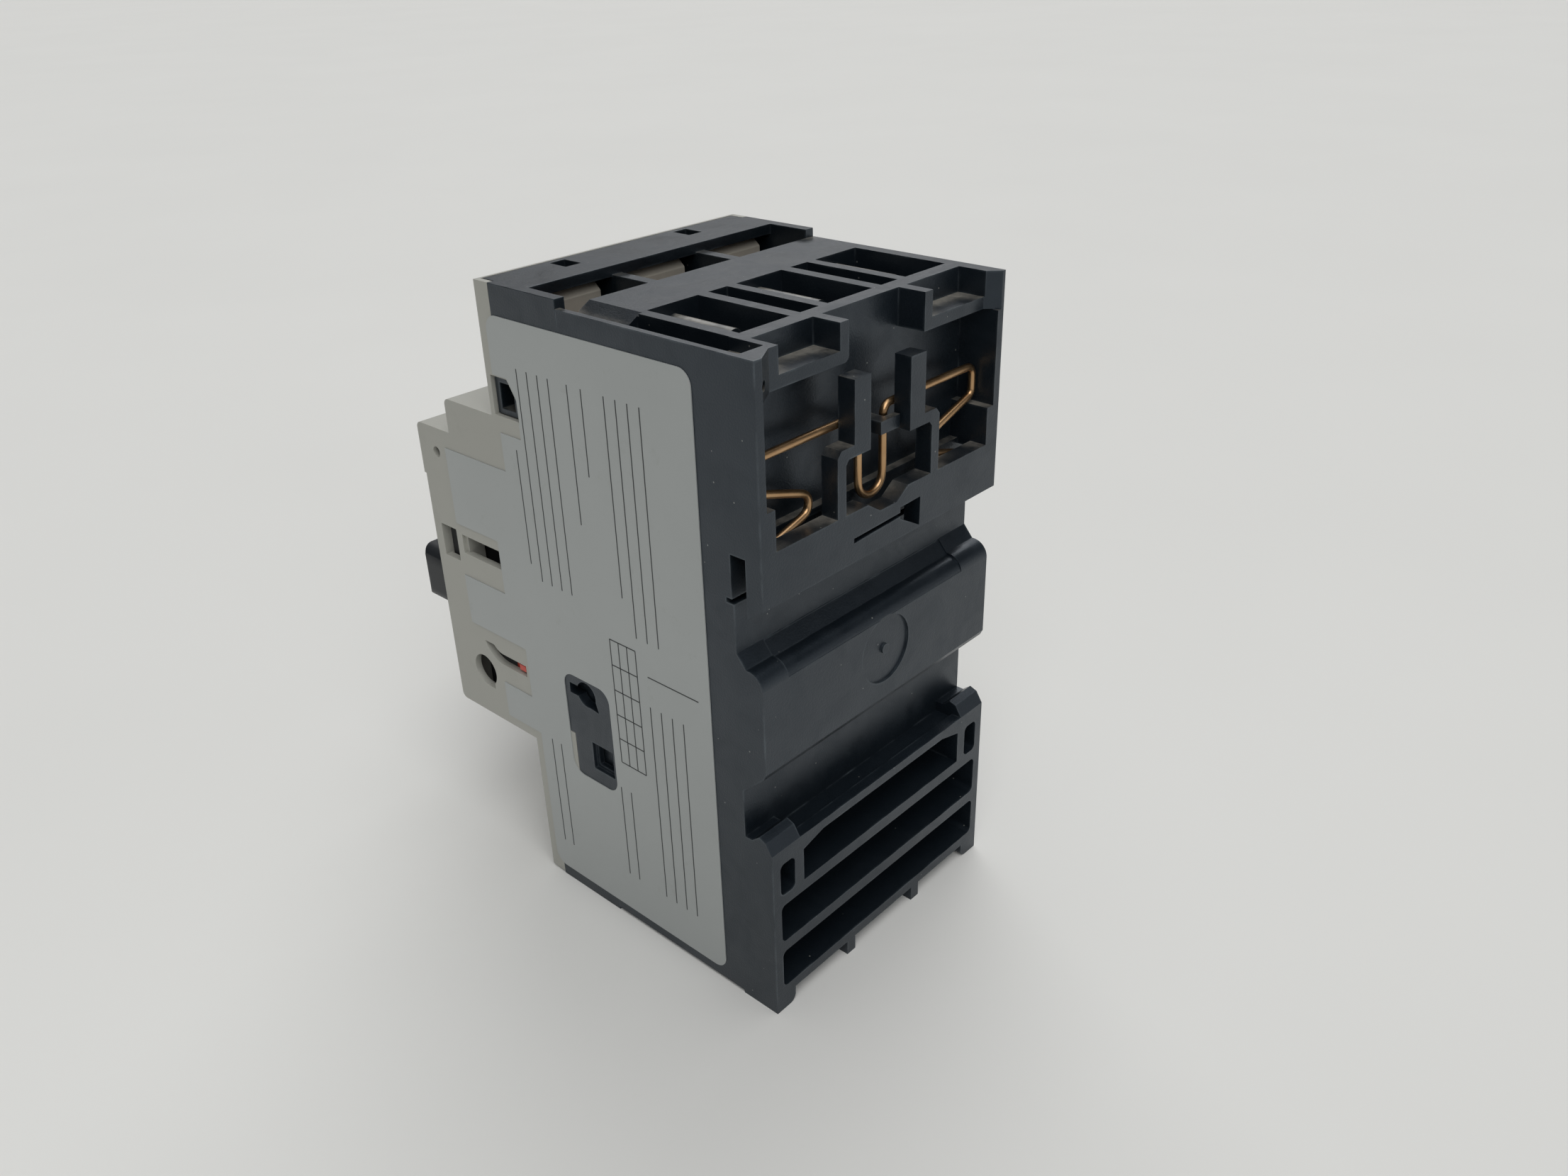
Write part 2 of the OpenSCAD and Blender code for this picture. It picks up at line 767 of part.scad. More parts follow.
// Profile of the flange and the stepped nose, seen from the side
module nose_profile() {
    edge_r = 0.9;
    difference() {
        polygon([[-cover_front + cut, nose_low], [-nose_face, nose_low], [-nose_face, nose_z - lip_h],
                 [-nose_face - lip_proud, nose_z - lip_h], [-nose_face - lip_proud, nose_z],
                 [-step_face, nose_z], [-step_face, step_z], [-cover_front + cut, step_z]]);
        corner_shaving([-nose_face, nose_low], [1, 1], edge_r);
        corner_shaving([-nose_face - lip_proud, nose_z], [1, -1], edge_r);
        corner_shaving([-step_face, step_z], [1, -1], edge_r);
    }
}

// Hollow inside the nose
module nose_hollow() {
    seen_from_side([-cover_half, cover_half])
        polygon([[-frame_front + cut, nose_low + nose_wall], [-nose_face + nose_wall, nose_low + nose_wall],
                 [-nose_face + nose_wall, nose_z - nose_wall], [-step_face + nose_wall, nose_z - nose_wall],
                 [-step_face + nose_wall, step_z - nose_wall], [-frame_front + cut, step_z - nose_wall]]);
}

// Slot of the trip indicator: a straight run that curves up at its front end
module flag_slot() {
    slot_w = 1.8;
    run = [cover_front + 0.2, cover_front + 5.4];
    bend_r = 3.4;
    slot_rise = 1.8;
    pane([run[0], run[1], flag_z - slot_w / 2, flag_z + slot_w / 2]);
    translate([-run[1], flag_z + bend_r])
        intersection() {
            difference() {
                circle(bend_r + slot_w / 2);
                circle(bend_r - slot_w / 2);
            }
            translate([-2 * bend_r, -2 * bend_r])
                square([2 * bend_r, bend_r + slot_rise]);
        }
}

// Windows and slots in one side of the cover
module side_windows() {
    key_hole = [-cover_front - 10.4, nose_low + 7.5];
    key_r = 2.5;
    seen_from_side([cover_half - cut, hw + cut]) {
        pane(square_pane);
        pane(long_pane);
        translate([-cover_front - 14.2, nose_z - 3.6])
            circle(0.75);
        translate(key_hole)
            circle(key_r);
        translate(key_hole + [0.2, -key_r - 0.1])
            square([1.6, 1.2]);
        flag_slot();
    }
    seen_from_side([hw - latch_in - 0.2, hw + cut])
        latch_window(0);
}

// Rib inside the cover between its two windows
module window_rib() {
    rib = 2;
    block([cover_half - rib, cover_half + cut / 2], [long_pane[1] - 0.6, square_pane[0] - 0.3],
          [long_pane[2] - rib, long_pane[3] + rib]);
}

module front_cover() {
    latch_top = body_h - 3.4;
    latch_t = 1.1;
    face = [nose_face - nose_wall - cut, nose_face + cut];
    ring_w = 0.9;
    ring_depth = 0.5;
    placed()
        color("#c9c8c2") {
            window_rib();
            difference() {
                union() {
                    block([-hw, hw], [frame_front, cover_front], [foot_step, body_h]);
                    seen_from_side([-hw, hw])
                        nose_profile();
                    for (x = [-hook_x, hook_x])
                        block([x - hook_w / 2, x + hook_w / 2], [frame_front - hook_reach, frame_front + cut],
                              [latch_top - latch_t, latch_top]);
                    block([hw - tongue_t, hw], [base_d + tongue_split + slip, frame_front + cut],
                          [tongue_low, tongue_mid - slip]);
                    block([hw - loop_t, hw], [loop_back, frame_front + cut], loop_z);
                }
                nose_hollow();
                block([-lip_half - 0.2, lip_half + 0.2], [frame_front - cut, frame_front + lip_d + 0.2],
                      [body_h - lip_t - 0.2, body_h + cut]);
                side_windows();
                for (k = POLES)
                    for (z = [line_z, load_z])
                        bar_y(head_d / 2 + 0.2, [frame_front - cut, cover_front + cut], pole_x(k), z);
                bar_y(hub_d / 2 + 0.2, face, 0, knob_z);
                bar_y(dial_d / 2 + 0.2, face, control_x, control_z);
                translate([-control_x, 0, control_z])
                    block([-test_half[0] - slip, test_half[0] + slip], face,
                          [-test_half[1] - slip, test_half[1] + slip]);
                bar_y(hub_d / 2 + ring_w, [nose_face - ring_depth, nose_face + cut], 0, knob_z);
            }
        }
}

// Label film on one side, cut away round the windows of the cover
module label_film() {
    corner = 2;
    rear = 9.2;
    low = 2;
    high = body_h - 3.9;
    front = cover_front + 11.9;
    past = front + cut;
    placed()
        color("#b9bec2")
            seen_from_side([hw, hw + film_t])
                difference() {
                    union() {
                        round_rect([-cover_front + 1.5, low], [-rear, high], corner);
                        pane([cover_front - corner - 2, front, nose_low + 1.6, nose_z - 2.4]);
                    }
                    pane([cover_front - 0.2, past, nose_z - 2.45, step_z]);
                    pane([latch_pane[0] - 0.1, past, latch_pane[2] - 2.3, latch_pane[2] + cut]);
                    latch_window(0.2);
                    pane([long_pane[0] - 0.2, past, square_pane[2] - 1.95, square_pane[3] + 1.2]);
                    pane([cover_front - 0.5, past, flag_z - 3.85, flag_z + 4]);
                    pane([cover_front + 5.9, past, nose_low, flag_z]);
                    round_rect([-service_pane[1], service_pane[2]], [-service_pane[0], service_pane[3]],
                               corner);
                }
}

// Rail spring

arm_z = rail_top + arm_rise;
span = chamber_half - wire_d / 2 - slip;
wire_depth = keep_t + wire_d / 2 + slip;
half_wire = [[span - 1.5, rail_top + 2.9], [7, rail_top + 6.2], [span, rail_top + 10.4], [span, arm_z],
             [2.35, arm_z], [2.35, rail_top + 3.5]];
half_bend = [0, 1.6, 1.2, 1.2, 1.3, 2.3];
wire_corners = concat(half_wire, [for (i = [5 : -1 : 0]) [-half_wire[i][0], half_wire[i][1]]]);
wire_bends = concat(half_bend, [for (i = [5 : -1 : 0]) half_bend[i]]);
bend_steps = 5;
wire_sides = 8;

function unit(v) = v / norm(v);
function angle_of(v) = atan2(v[1], v[0]);
function turn(a, b) = let (d = angle_of(b) - angle_of(a)) d > 180 ? d - 360 : d < -180 ? d + 360 : d;

// Points of one rounded corner of a bent wire
function bend(before, at, after, r) =
    let (a = unit(at - before), b = unit(after - at), t = turn(a, b), side = sign(t),
         start = at - a * r * tan(abs(t) / 2), centre = start + side * r * [-a[1], a[0]])
    [for (s = [0 : bend_steps]) let (w = angle_of(a) - side * 90 + t * s / bend_steps)
        centre + r * [cos(w), sin(w)]];

last = len(wire_corners) - 1;
wire_path = concat([wire_corners[0]],
                   [for (i = [1 : last - 1])
                       each bend(wire_corners[i - 1], wire_corners[i], wire_corners[i + 1], wire_bends[i])],
                   [wire_corners[last]]);

// Ring of points round one point of the wire, square to its run
function wire_ring(i) =
    let (n = len(wire_path), p = wire_path[i],
         along = unit(wire_path[min(i + 1, n - 1)] - wire_path[max(i - 1, 0)]))
    [for (s = [0 : wire_sides - 1])
        let (w = 360 * s / wire_sides, u = cos(w) * wire_d / 2, v = sin(w) * wire_d / 2)
        [p[0] - u * along[1], -wire_depth + v, p[1] + u * along[0]]];

// Least gap of the wire to itself, measured between points that are far apart along it
function run_length(i, j) = i >= j ? 0 : norm(wire_path[i + 1] - wire_path[i]) + run_length(i + 1, j);
self_gap = min([for (i = [0 : len(wire_path) - 2]) for (j = [i + 1 : len(wire_path) - 1])
                if (run_length(i, j) > 6) norm(wire_path[i] - wire_path[j]) - wire_d]);
echo(rail_spring_self_gap = self_gap);

module rail_spring() {
    rings = len(wire_path);
    points = [for (i = [0 : rings - 1]) each wire_ring(i)];
    sides = [for (i = [0 : rings - 2]) for (s = [0 : wire_sides - 1])
             let (a = i * wire_sides + s, b = i * wire_sides + (s + 1) % wire_sides)
             each [[a, b, a + wire_sides], [b, b + wire_sides, a + wire_sides]]];
    caps = [for (s = [1 : wire_sides - 2]) each [[0, s + 1, s],
            [(rings - 1) * wire_sides, (rings - 1) * wire_sides + s, (rings - 1) * wire_sides + s + 1]]];
    placed()
        color("#c08a4e")
            polyhedron(points, concat(sides, caps));
}

// Knob and controls

module knob() {
    tip = nose_face + knob_out;
    foot = hub_back + hub_t - 0.5;
    pointer = [8, 1.2, 0.5];
    placed()
        color("#2e3136")
            difference() {
                union() {
                    bar_y(hub_d / 2, [hub_back, hub_back + hub_t], 0, knob_z);
                    intersection() {
                        seen_from_rear([foot, tip])
                            round_rect([-bar_len / 2, knob_z - bar_w / 2], [bar_len / 2, knob_z + bar_w / 2],
                                       bar_r);
                        seen_from_top([knob_z - bar_w, knob_z + bar_w])
                            round_rect([-bar_len / 2, -tip], [bar_len / 2, -foot + bar_r], bar_r);
                    }
                }
                bar_y(shaft_d / 2 + run_fit, [hub_back - cut, hub_back + socket], 0, knob_z);
                translate([bar_r - bar_len / 2, 0, knob_z])
                    block([0, pointer[0]], [tip - pointer[2], tip + cut], [-pointer[1] / 2, pointer[1] / 2]);
            }
}

module knob_shaft() {
    cam_r = shaft_d / 2 + 2.1;
    placed()
        color("#8d9196") {
            bar_y(shaft_d / 2, [plate_front + slip, hub_back + socket - slip], 0, knob_z);
            bar_y(cam_r, [plate_front + 0.6, plate_front + 3], 0, knob_z);
            bar_y(pivot_tip / 2, [frame_front + slip, plate_front + cut], 0, knob_z);
        }
}

module setting_dial() {
    dial_t = 2.9;
    slot_w = 1.2;
    placed()
        color("#e3dfd2")
            difference() {
                union() {
                    bar_y(dial_d / 2, [nose_face - dial_t, nose_face], control_x, control_z);
                    bar_y(pivot_tip / 2, [frame_front + slip, nose_face - dial_t + slip], control_x,
                          control_z);
                    bar_y(pivot_tip, [plate_front + slip, plate_front + 2], control_x, control_z);
                }
                translate([control_x, 0, control_z])
                    block([-dial_d / 2 + 1.2, dial_d / 2 - 1.2], [nose_face - 1.4, nose_face + cut],
                          [-slot_w / 2, slot_w / 2]);
            }
}

module test_button() {
    slot = [0.5, 2.2];
    front = nose_face - 0.4;
    placed()
        color("#a4433b")
            translate([-control_x, 0, control_z])
                difference() {
                    block([-test_half[0], test_half[0]], [plate_front + test_travel + 0.4, front],
                          [-test_half[1], test_half[1]]);
                    block([-slot[0], slot[0]], [front - 1, front + cut], [-slot[1], slot[1]]);
                }
}

// Red flag inside the cover's wall, with a nub that shows in the slot
module trip_indicator() {
    flag_back = cover_front + 0.7;
    flag_w = 3.3;
    flag_h = 7;
    nub = [1.5, 1];
    placed()
        color("#d0402c")
            translate([0, 0, flag_z]) {
                block([cover_half - 1.7, cover_half - 0.2], [flag_back, flag_back + flag_w],
                      [-flag_h / 2, flag_h / 2]);
                block([cover_half - 0.3, hw - 0.3], [flag_back, flag_back + nub[0]],
                      [-nub[1] / 2, nub[1] / 2]);
            }
}

// Mechanism

module mechanism_plate() {
    half = cover_half - 0.2;
    low = nose_low + nose_wall + 0.2;
    high = step_z - nose_wall - 0.2;
    guide_x = pole_pitch * 0.7;
    cheek_front = nose_face - nose_wall - 1.6;
    shutter_x = control_x + dial_d / 2 + 0.4;
    shutter_back = square_pane[0] + 0.5;
    shutter_z = [square_pane[2] - 1, square_pane[3] + 1];
    through = [frame_front - cut, plate_front + cut];
    placed()
        color("#4a4f57")
            difference() {
                union() {
                    block([-half, half], [frame_front, plate_front], [low, high]);
                    for (x = [-guide_x, guide_x])
                        block([x - 1, x + 1], [trip_d + trip_t + slip, frame_front + cut],
                              [trip_low - 2, trip_high + 2]);
                    block([cheek_x, cheek_x + cheek_t], [frame_front, cheek_front],
                          [low, nose_z - nose_wall - 0.2]);
                    block([cheek_x, half], [shutter_back, cheek_front], shutter_z);
                    block([shutter_x, half], [shutter_back, nose_face - nose_wall - 0.2], shutter_z);
                }
                block([-post_half - 0.4, post_half + 0.4], through, [finger_low - 0.4, finger_high + 0.4]);
                bar_y(pivot_tip / 2 + run_fit, through, 0, knob_z);
                bar_y(pivot_tip / 2 + run_fit, through, control_x, control_z);
            }
}

module lock_frame() {
    front = nose_face - nose_wall - 2.6;
    low = pivot_z - 5;
    high = pivot_z + 8;
    outer = lock_half + lock_t;
    placed()
        color("#b4b8bc") {
            for (side = [0, 1])
                mirror([side, 0, 0])
                    block([lock_half, outer], [plate_front, front], [low, high]);
            block([-outer, outer], [front - lock_t, front], [pivot_z + 3, high]);
            translate([-outer, -pivot_d, pivot_z])
                rotate([0, 90, 0])
                    cylinder(d = pin_d, h = 2 * outer);
        }
}

module toggle_lever() {
    hub_r = 2.4;
    nose_r = 1;
    half = 2;
    nose_at = [-post_front - nose_r - 0.3, finger_high - 2.5];
    placed()
        color("#9ea3a8")
            seen_from_side([-half, half])
                difference() {
                    union() {
                        translate([-pivot_d, pivot_z])
                            circle(hub_r);
                        translate(nose_at)
                            circle(nose_r);
                        polygon([[-pivot_d - 2, pivot_z + 1], [-pivot_d + 2, pivot_z - 1],
                                 nose_at + [0.8, -0.5], nose_at + [-0.8, 0.5]]);
                    }
                    translate([-pivot_d, pivot_z])
                        circle(pin_d / 2 + run_fit);
                }
}

// Moving contacts

module contact_carrier() {
    half = hw - ring - 0.3;
    placed()
        color("#d8d2c0") {
            block([-half, half], [carrier_back, carrier_back + carrier_t],
                  [finger_low - 1, finger_high + 1]);
            block([-post_half, post_half], [carrier_back, post_front], [finger_low, finger_high]);
            for (k = POLES)
                translate([pole_x(k), 0, 0])
                    block([-finger_half, finger_half], [bridge_bar + run_fit, carrier_back + cut],
                          [finger_low, finger_high]);
        }
}

module bridge(k) {
    half = 3;
    placed()
        color("#b8703f") {
            translate([pole_x(k), 0, 0])
                block([-half, half], [bridge_bar - bar_copper, bridge_bar],
                      [contact_lo - 2, contact_hi + 2]);
            for (z = [contact_lo, contact_hi])
                bar_y(button_d / 2, [bridge_bar, bridge_front], pole_x(k), z);
        }
}

// Coil spring behind one bridge, drawn as one tube along a helix
module coil_spring(r, wire, length, turns) {
    steps = 8 * turns;
    sides = 6;
    pitch_rise = (length - wire) / steps;
    points = [for (i = [0 : steps]) let (w = 45 * i, y = wire / 2 + i * pitch_rise)
              for (s = [0 : sides - 1]) let (q = r + cos(60 * s) * wire / 2)
              [q * cos(w), y + sin(60 * s) * wire / 2, q * sin(w)]];
    walls = [for (i = [0 : steps - 1]) for (s = [0 : sides - 1])
             let (a = i * sides + s, b = i * sides + (s + 1) % sides)
             each [[a, b, a + sides], [b, b + sides, a + sides]]];
    caps = [for (s = [1 : sides - 2]) each [[0, s + 1, s],
            [steps * sides, steps * sides + s, steps * sides + s + 1]]];
    polyhedron(points, concat(walls, caps));
}

module contact_springs() {
    length = bridge_bar - bar_copper - chamber_back - 2 * slip;
    placed()
        color("#c9ccd0")
            for (k = POLES)
                translate([pole_x(k), -bridge_bar + bar_copper + slip, contact_mid])
                    coil_spring((spring_d - spring_wire) / 2, spring_wire, length, spring_turns);
}

// Current path of one pole

module line_terminal(k) {
    tab_half = 3.5;
    placed()
        color("#c47a4a")
            difference() {
                union() {
                    translate([pole_x(k), 0, 0]) {
                        block([-plate_half, plate_half], [base_d, base_d + copper_t],
                              [foot_z, line_z + 6.5]);
                        block([-tab_half, tab_half], [tab_d, base_d + copper_t],
                              [foot_z, foot_z + copper_t]);
                        block([-tab_half, tab_half], [tab_d, tab_d + copper_t],
                              [contact_hi - 2.7, foot_z + copper_t]);
                    }
                    bar_y(button_d / 2, [fixed_face, tab_d + slip], pole_x(k), contact_hi);
                }
                bar_y(screw_d / 2 + run_fit, [base_d - cut, base_d + copper_t + cut], pole_x(k), line_z);
            }
}

module lower_contact(k) {
    tab_half = 3.5;
    placed()
        color("#c47a4a") {
            translate([pole_x(k), 0, 0]) {
                block([-tab_half, tab_half], [tab_d, tab_d + copper_t], [yoke_high, contact_lo + 3]);
                block([-tab_half, tab_half], [yoke_back + 0.7, tab_d + copper_t],
                      [yoke_high, yoke_high + copper_t]);
            }
            bar_y(button_d / 2, [fixed_face, tab_d + slip], pole_x(k), contact_lo);
        }
}

module load_terminal(k) {
    tab_half = 3.5;
    placed()
        color("#c47a4a")
            difference() {
                translate([pole_x(k), 0, 0]) {
                    block([-plate_half, plate_half], [base_d, base_d + copper_t],
                          [load_z - 6.5, load_foot + copper_t]);
                    block([-tab_half, tab_half], [bimetal_d - bimetal_w / 2 - 1.5, base_d + copper_t],
                          [load_foot, load_foot + copper_t]);
                }
                bar_y(screw_d / 2 + run_fit, [base_d - cut, base_d + copper_t + cut], pole_x(k), load_z);
            }
}

// Saddle clamp with a bevelled lip over the wire and two bent ears at its inner end
module clamp(x, z, up) {
    inner = 5;
    rise = 7.2;
    ear_t = 1;
    bevel = [1.1, 1];
    face = -clamp_front;
    back = face + clamp_t;
    difference() {
        translate([x, 0, z]) {
            seen_from_side([-clamp_half, clamp_half])
                polygon([[face, -up * inner], [face, up * rise], [back - bevel[0], up * rise],
                         [back, up * (rise - bevel[1])], [back, -up * inner]]);
            for (side = [-1, 1])
                translate([side * (clamp_half - ear_t / 2) - ear_t / 2, 0, 0])
                    seen_from_side([0, ear_t])
                        polygon([[face, 0], [back, 0], [back + ear_len, up * (0.6 - inner)],
                                 [back + ear_len, -up * inner], [face, -up * inner]]);
        }
        bar_y(screw_d / 2 + 0.2, [clamp_front - clamp_t - cut, clamp_front + cut], x, z);
    }
}

module line_clamp(k) {
    placed()
        color("#d5d3cc")
            clamp(pole_x(k), line_z, 1);
}

module load_clamp(k) {
    placed()
        color("#d5d3cc")
            clamp(pole_x(k), load_z, -1);
}

// Slotted pan-head terminal screw
module terminal_screw(x, z) {
    tip = base_d - 2.5;
    head_back = clamp_front + slip;
    difference() {
        union() {
            bar_y(head_d / 2, [head_back, head_back + head_h], x, z);
            bar_y(screw_d / 2, [tip, head_back + slip], x, z);
        }
        translate([x, 0, z])
            block([-head_d, head_d], [head_back + head_h - 1.2, head_back + head_h + cut], [-0.5, 0.5]);
    }
}

module line_screw(k) {
    placed()
        color("#c2c4c6")
            terminal_screw(pole_x(k), line_z);
}

module load_screw(k) {
    placed()
        color("#c2c4c6")
            terminal_screw(pole_x(k), load_z);
}

// Stack of notched steel plates between two fibre cheeks
module arc_chute(k) {
    side_t = 0.7;
    fuse = 0.2;
    half = pole_w / 2 - run_fit;
    inner = half - side_t + fuse;
    depth = [chamber_back + 2, bridge_front + 1.6];
    low = contact_hi + 3.4;
    high = chamber_high - slip;
    plate = 0.8;
    pitch = (depth[1] - depth[0] - plate) / (arc_plates - 1);
    placed()
        color("#9a8f7c")
            translate([pole_x(k), 0, 0]) {
                for (side = [0, 1])
                    mirror([side, 0, 0])
                        block([half - side_t, half], depth, [low, high]);
                for (i = [0 : arc_plates - 1])
                    seen_from_rear([depth[0] + i * pitch, depth[0] + i * pitch + plate])
                        polygon([[-inner, low + 0.6], [-2, low + 0.6], [0, low + 4], [2, low + 0.6],
                                 [inner, low + 0.6], [inner, high - 0.4], [-inner, high - 0.4]]);
            }
}

// Bobbin with its winding, turned about the striker's axis
module trip_coil(k) {
    flange_r = 5.5;
    wound_r = 5;
    bore_r = striker_d / 2 + slip;
    length = yoke_front - yoke_back - 2 * yoke_t - 2 * slip;
    flange = 1;
    placed()
        color("#a85f32")
            translate([pole_x(k), -yoke_back - yoke_t - slip, coil_z])
                rotate([90, 0, 0])
                    rotate_extrude()
                        polygon([[bore_r, 0], [flange_r, 0], [flange_r, flange], [wound_r, flange],
                                 [wound_r, length - flange], [flange_r, length - flange], [flange_r, length],
                                 [bore_r, length]]);
}

// Closed steel yoke round one coil
module yoke(k) {
    placed()
        color("#8f9499")
            translate([pole_x(k), 0, 0])
                difference() {
                    block([-yoke_half, yoke_half], [yoke_back, yoke_front], [yoke_low, yoke_high]);
                    block([-yoke_half - cut, yoke_half + cut], [yoke_back + yoke_t, yoke_front - yoke_t],
                          [yoke_low + yoke_t, yoke_high - yoke_t]);
                    bar_y(striker_d / 2 + slip, [yoke_front - yoke_t - cut, yoke_front + cut], 0, coil_z);
                }
}

module striker(k) {
    placed()
        color("#7d8287")
            bar_y(striker_d / 2, [yoke_back + yoke_t + 3, yoke_front + 1.3], pole_x(k), coil_z);
}

module bimetal(k) {
    placed()
        color("#b9a27a")
            translate([pole_x(k), 0, 0])
                block([-bimetal_t / 2, bimetal_t / 2],
                      [bimetal_d - bimetal_w / 2, bimetal_d + bimetal_w / 2],
                      [load_foot + copper_t, yoke_low - 0.6]);
}

// Glass-fibre sleeves with the heater winding round the bimetal strips
module heaters() {
    sleeve_t = 1.4;
    low = load_foot + copper_t + 1.8;
    high = trip_low - 0.5;
    half = bimetal_t / 2 + slip;
    half_w = bimetal_w / 2 + slip;
    placed()
        color("#e4dcc4")
            for (k = POLES)
                translate([pole_x(k), 0, 0])
                    difference() {
                        block([-half - sleeve_t, half + sleeve_t],
                              [bimetal_d - half_w - 0.7, bimetal_d + half_w + 0.7], [low, high]);
                        block([-half, half], [bimetal_d - half_w, bimetal_d + half_w],
                              [low - cut, high + cut]);
                    }
}

// Slide that the bimetal strips push
module trip_bar() {
    half = hw - ring - 2.5;
    reach = 0.4;
    placed()
        color("#c7b98f") {
            block([-half, half], [trip_d, trip_d + trip_t], [trip_low, trip_high]);
            for (k = POLES)
                translate([pole_x(k) + bimetal_t / 2 + reach, 0, 0])
                    block([0, 1], [bimetal_d - 1, trip_d + cut], [trip_low, trip_high]);
        }
}

rear_base();
terminal_frame();
front_cover();
label_film();
rail_spring();
knob();
knob_shaft();
setting_dial();
test_button();
trip_indicator();
mechanism_plate();
lock_frame();
toggle_lever();
contact_carrier();
contact_springs();
trip_bar();
heaters();
for (k = POLES) line_terminal(k);
for (k = POLES) load_terminal(k);
for (k = POLES) line_clamp(k);
for (k = POLES) load_clamp(k);
for (k = POLES) line_screw(k);
for (k = POLES) load_screw(k);
for (k = POLES) lower_contact(k);
for (k = POLES) bridge(k);
for (k = POLES) arc_chute(k);
for (k = POLES) trip_coil(k);
for (k = POLES) yoke(k);
for (k = POLES) striker(k);
for (k = POLES) bimetal(k);
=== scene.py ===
import json
import math

import bpy
from mathutils import Matrix, Vector

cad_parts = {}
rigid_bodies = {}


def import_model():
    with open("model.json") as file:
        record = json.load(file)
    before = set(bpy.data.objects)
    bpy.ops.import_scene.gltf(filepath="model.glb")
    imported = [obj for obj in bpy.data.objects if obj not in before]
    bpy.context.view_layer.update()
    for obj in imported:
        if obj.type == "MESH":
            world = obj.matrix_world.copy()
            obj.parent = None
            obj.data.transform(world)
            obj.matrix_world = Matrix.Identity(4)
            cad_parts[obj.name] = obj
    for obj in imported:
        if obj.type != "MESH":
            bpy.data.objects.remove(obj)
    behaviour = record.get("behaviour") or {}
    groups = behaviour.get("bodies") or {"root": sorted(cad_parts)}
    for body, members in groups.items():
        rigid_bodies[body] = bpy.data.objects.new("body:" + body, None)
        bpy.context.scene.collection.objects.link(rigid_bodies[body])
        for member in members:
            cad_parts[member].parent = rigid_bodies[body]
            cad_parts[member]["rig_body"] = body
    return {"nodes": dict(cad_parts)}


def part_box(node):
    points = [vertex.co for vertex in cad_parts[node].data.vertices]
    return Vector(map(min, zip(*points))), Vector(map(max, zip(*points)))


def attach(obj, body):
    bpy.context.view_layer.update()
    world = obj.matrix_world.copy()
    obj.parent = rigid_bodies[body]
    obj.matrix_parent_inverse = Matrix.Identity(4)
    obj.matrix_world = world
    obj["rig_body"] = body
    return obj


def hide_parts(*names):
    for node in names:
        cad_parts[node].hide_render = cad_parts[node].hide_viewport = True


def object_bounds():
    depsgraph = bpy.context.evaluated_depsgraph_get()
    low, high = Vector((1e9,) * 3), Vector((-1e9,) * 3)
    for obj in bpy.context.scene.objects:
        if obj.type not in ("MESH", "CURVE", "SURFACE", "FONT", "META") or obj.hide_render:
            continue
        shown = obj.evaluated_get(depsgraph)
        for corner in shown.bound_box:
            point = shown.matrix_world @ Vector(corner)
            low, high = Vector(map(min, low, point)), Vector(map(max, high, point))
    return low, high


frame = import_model()
cad_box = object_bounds()

# Studio: a pale paper sweep under the breaker, four broad lamps (above, on the camera's side, in
# front and low behind) and a faint light from a white room. The camera stands behind the right
# side, a little above the top.


def linear(hex_colour):
    """sRGB hex to the linear colour that shaders take."""
    parts = [int(hex_colour[i:i + 2], 16) / 255 for i in (1, 3, 5)]
    return [c / 12.92 if c <= 0.04045 else ((c + 0.055) / 1.055) ** 2.4 for c in parts] + [1.0]


def add_node(material, kind, links=(), to=None, **settings):
    """Adds one shader node, sets its fields or sockets, links its inputs and its first output."""
    tree = material.node_tree
    node = tree.nodes.new(kind)
    for name, value in settings.items():
        if name in node.bl_rna.properties:
            setattr(node, name, value)
    for name, value in settings.items():
        if name not in node.bl_rna.properties:
            socket = name.replace("_", " ")
            node.inputs[socket].default_value = linear(value) if isinstance(value, str) else value
    for socket, source in links:
        tree.links.new(source, node.inputs[socket])
    if to:
        shader = tree.nodes["Principled BSDF"]
        out = next(o for o in node.outputs if o.enabled)
        tree.links.new(out, shader.inputs[to])
    return node


def new_material(name, **sockets):
    """A node material whose principled shader has these constant values."""
    material = bpy.data.materials.new(name)
    material.use_nodes = True
    for socket, value in sockets.items():
        material.node_tree.nodes["Principled BSDF"].inputs[socket.replace("_", " ")].default_value = value
    return material


# Matt paper: almost even, with faint clouds a hand wide.
paper = new_material("matt_photo_paper", Roughness=0.9, Specular_IOR_Level=0.1)
paper_place = add_node(paper, "ShaderNodeTexCoord")
paper_cloud = add_node(paper, "ShaderNodeTexNoise", Scale=1 / 0.1, Detail=3.0,
                       links=[("Vector", paper_place.outputs["Object"])])
add_node(paper, "ShaderNodeMix", data_type="RGBA", A="#e1e1de", B="#e5e5e2",
         links=[("Factor", paper_cloud.outputs["Fac"])], to="Base Color")

sweep_size = 14.0
sweep_squares = 12
bpy.ops.object.select_all(action="DESELECT")
bpy.ops.mesh.primitive_grid_add(x_subdivisions=sweep_squares, y_subdivisions=sweep_squares,
                                size=sweep_size, location=(0, 0, cad_box[0][2]))
floor = bpy.context.object
floor.name = "paper_sweep"
bpy.ops.object.transform_apply(location=True, rotation=True, scale=True)
floor.data.materials.append(paper)

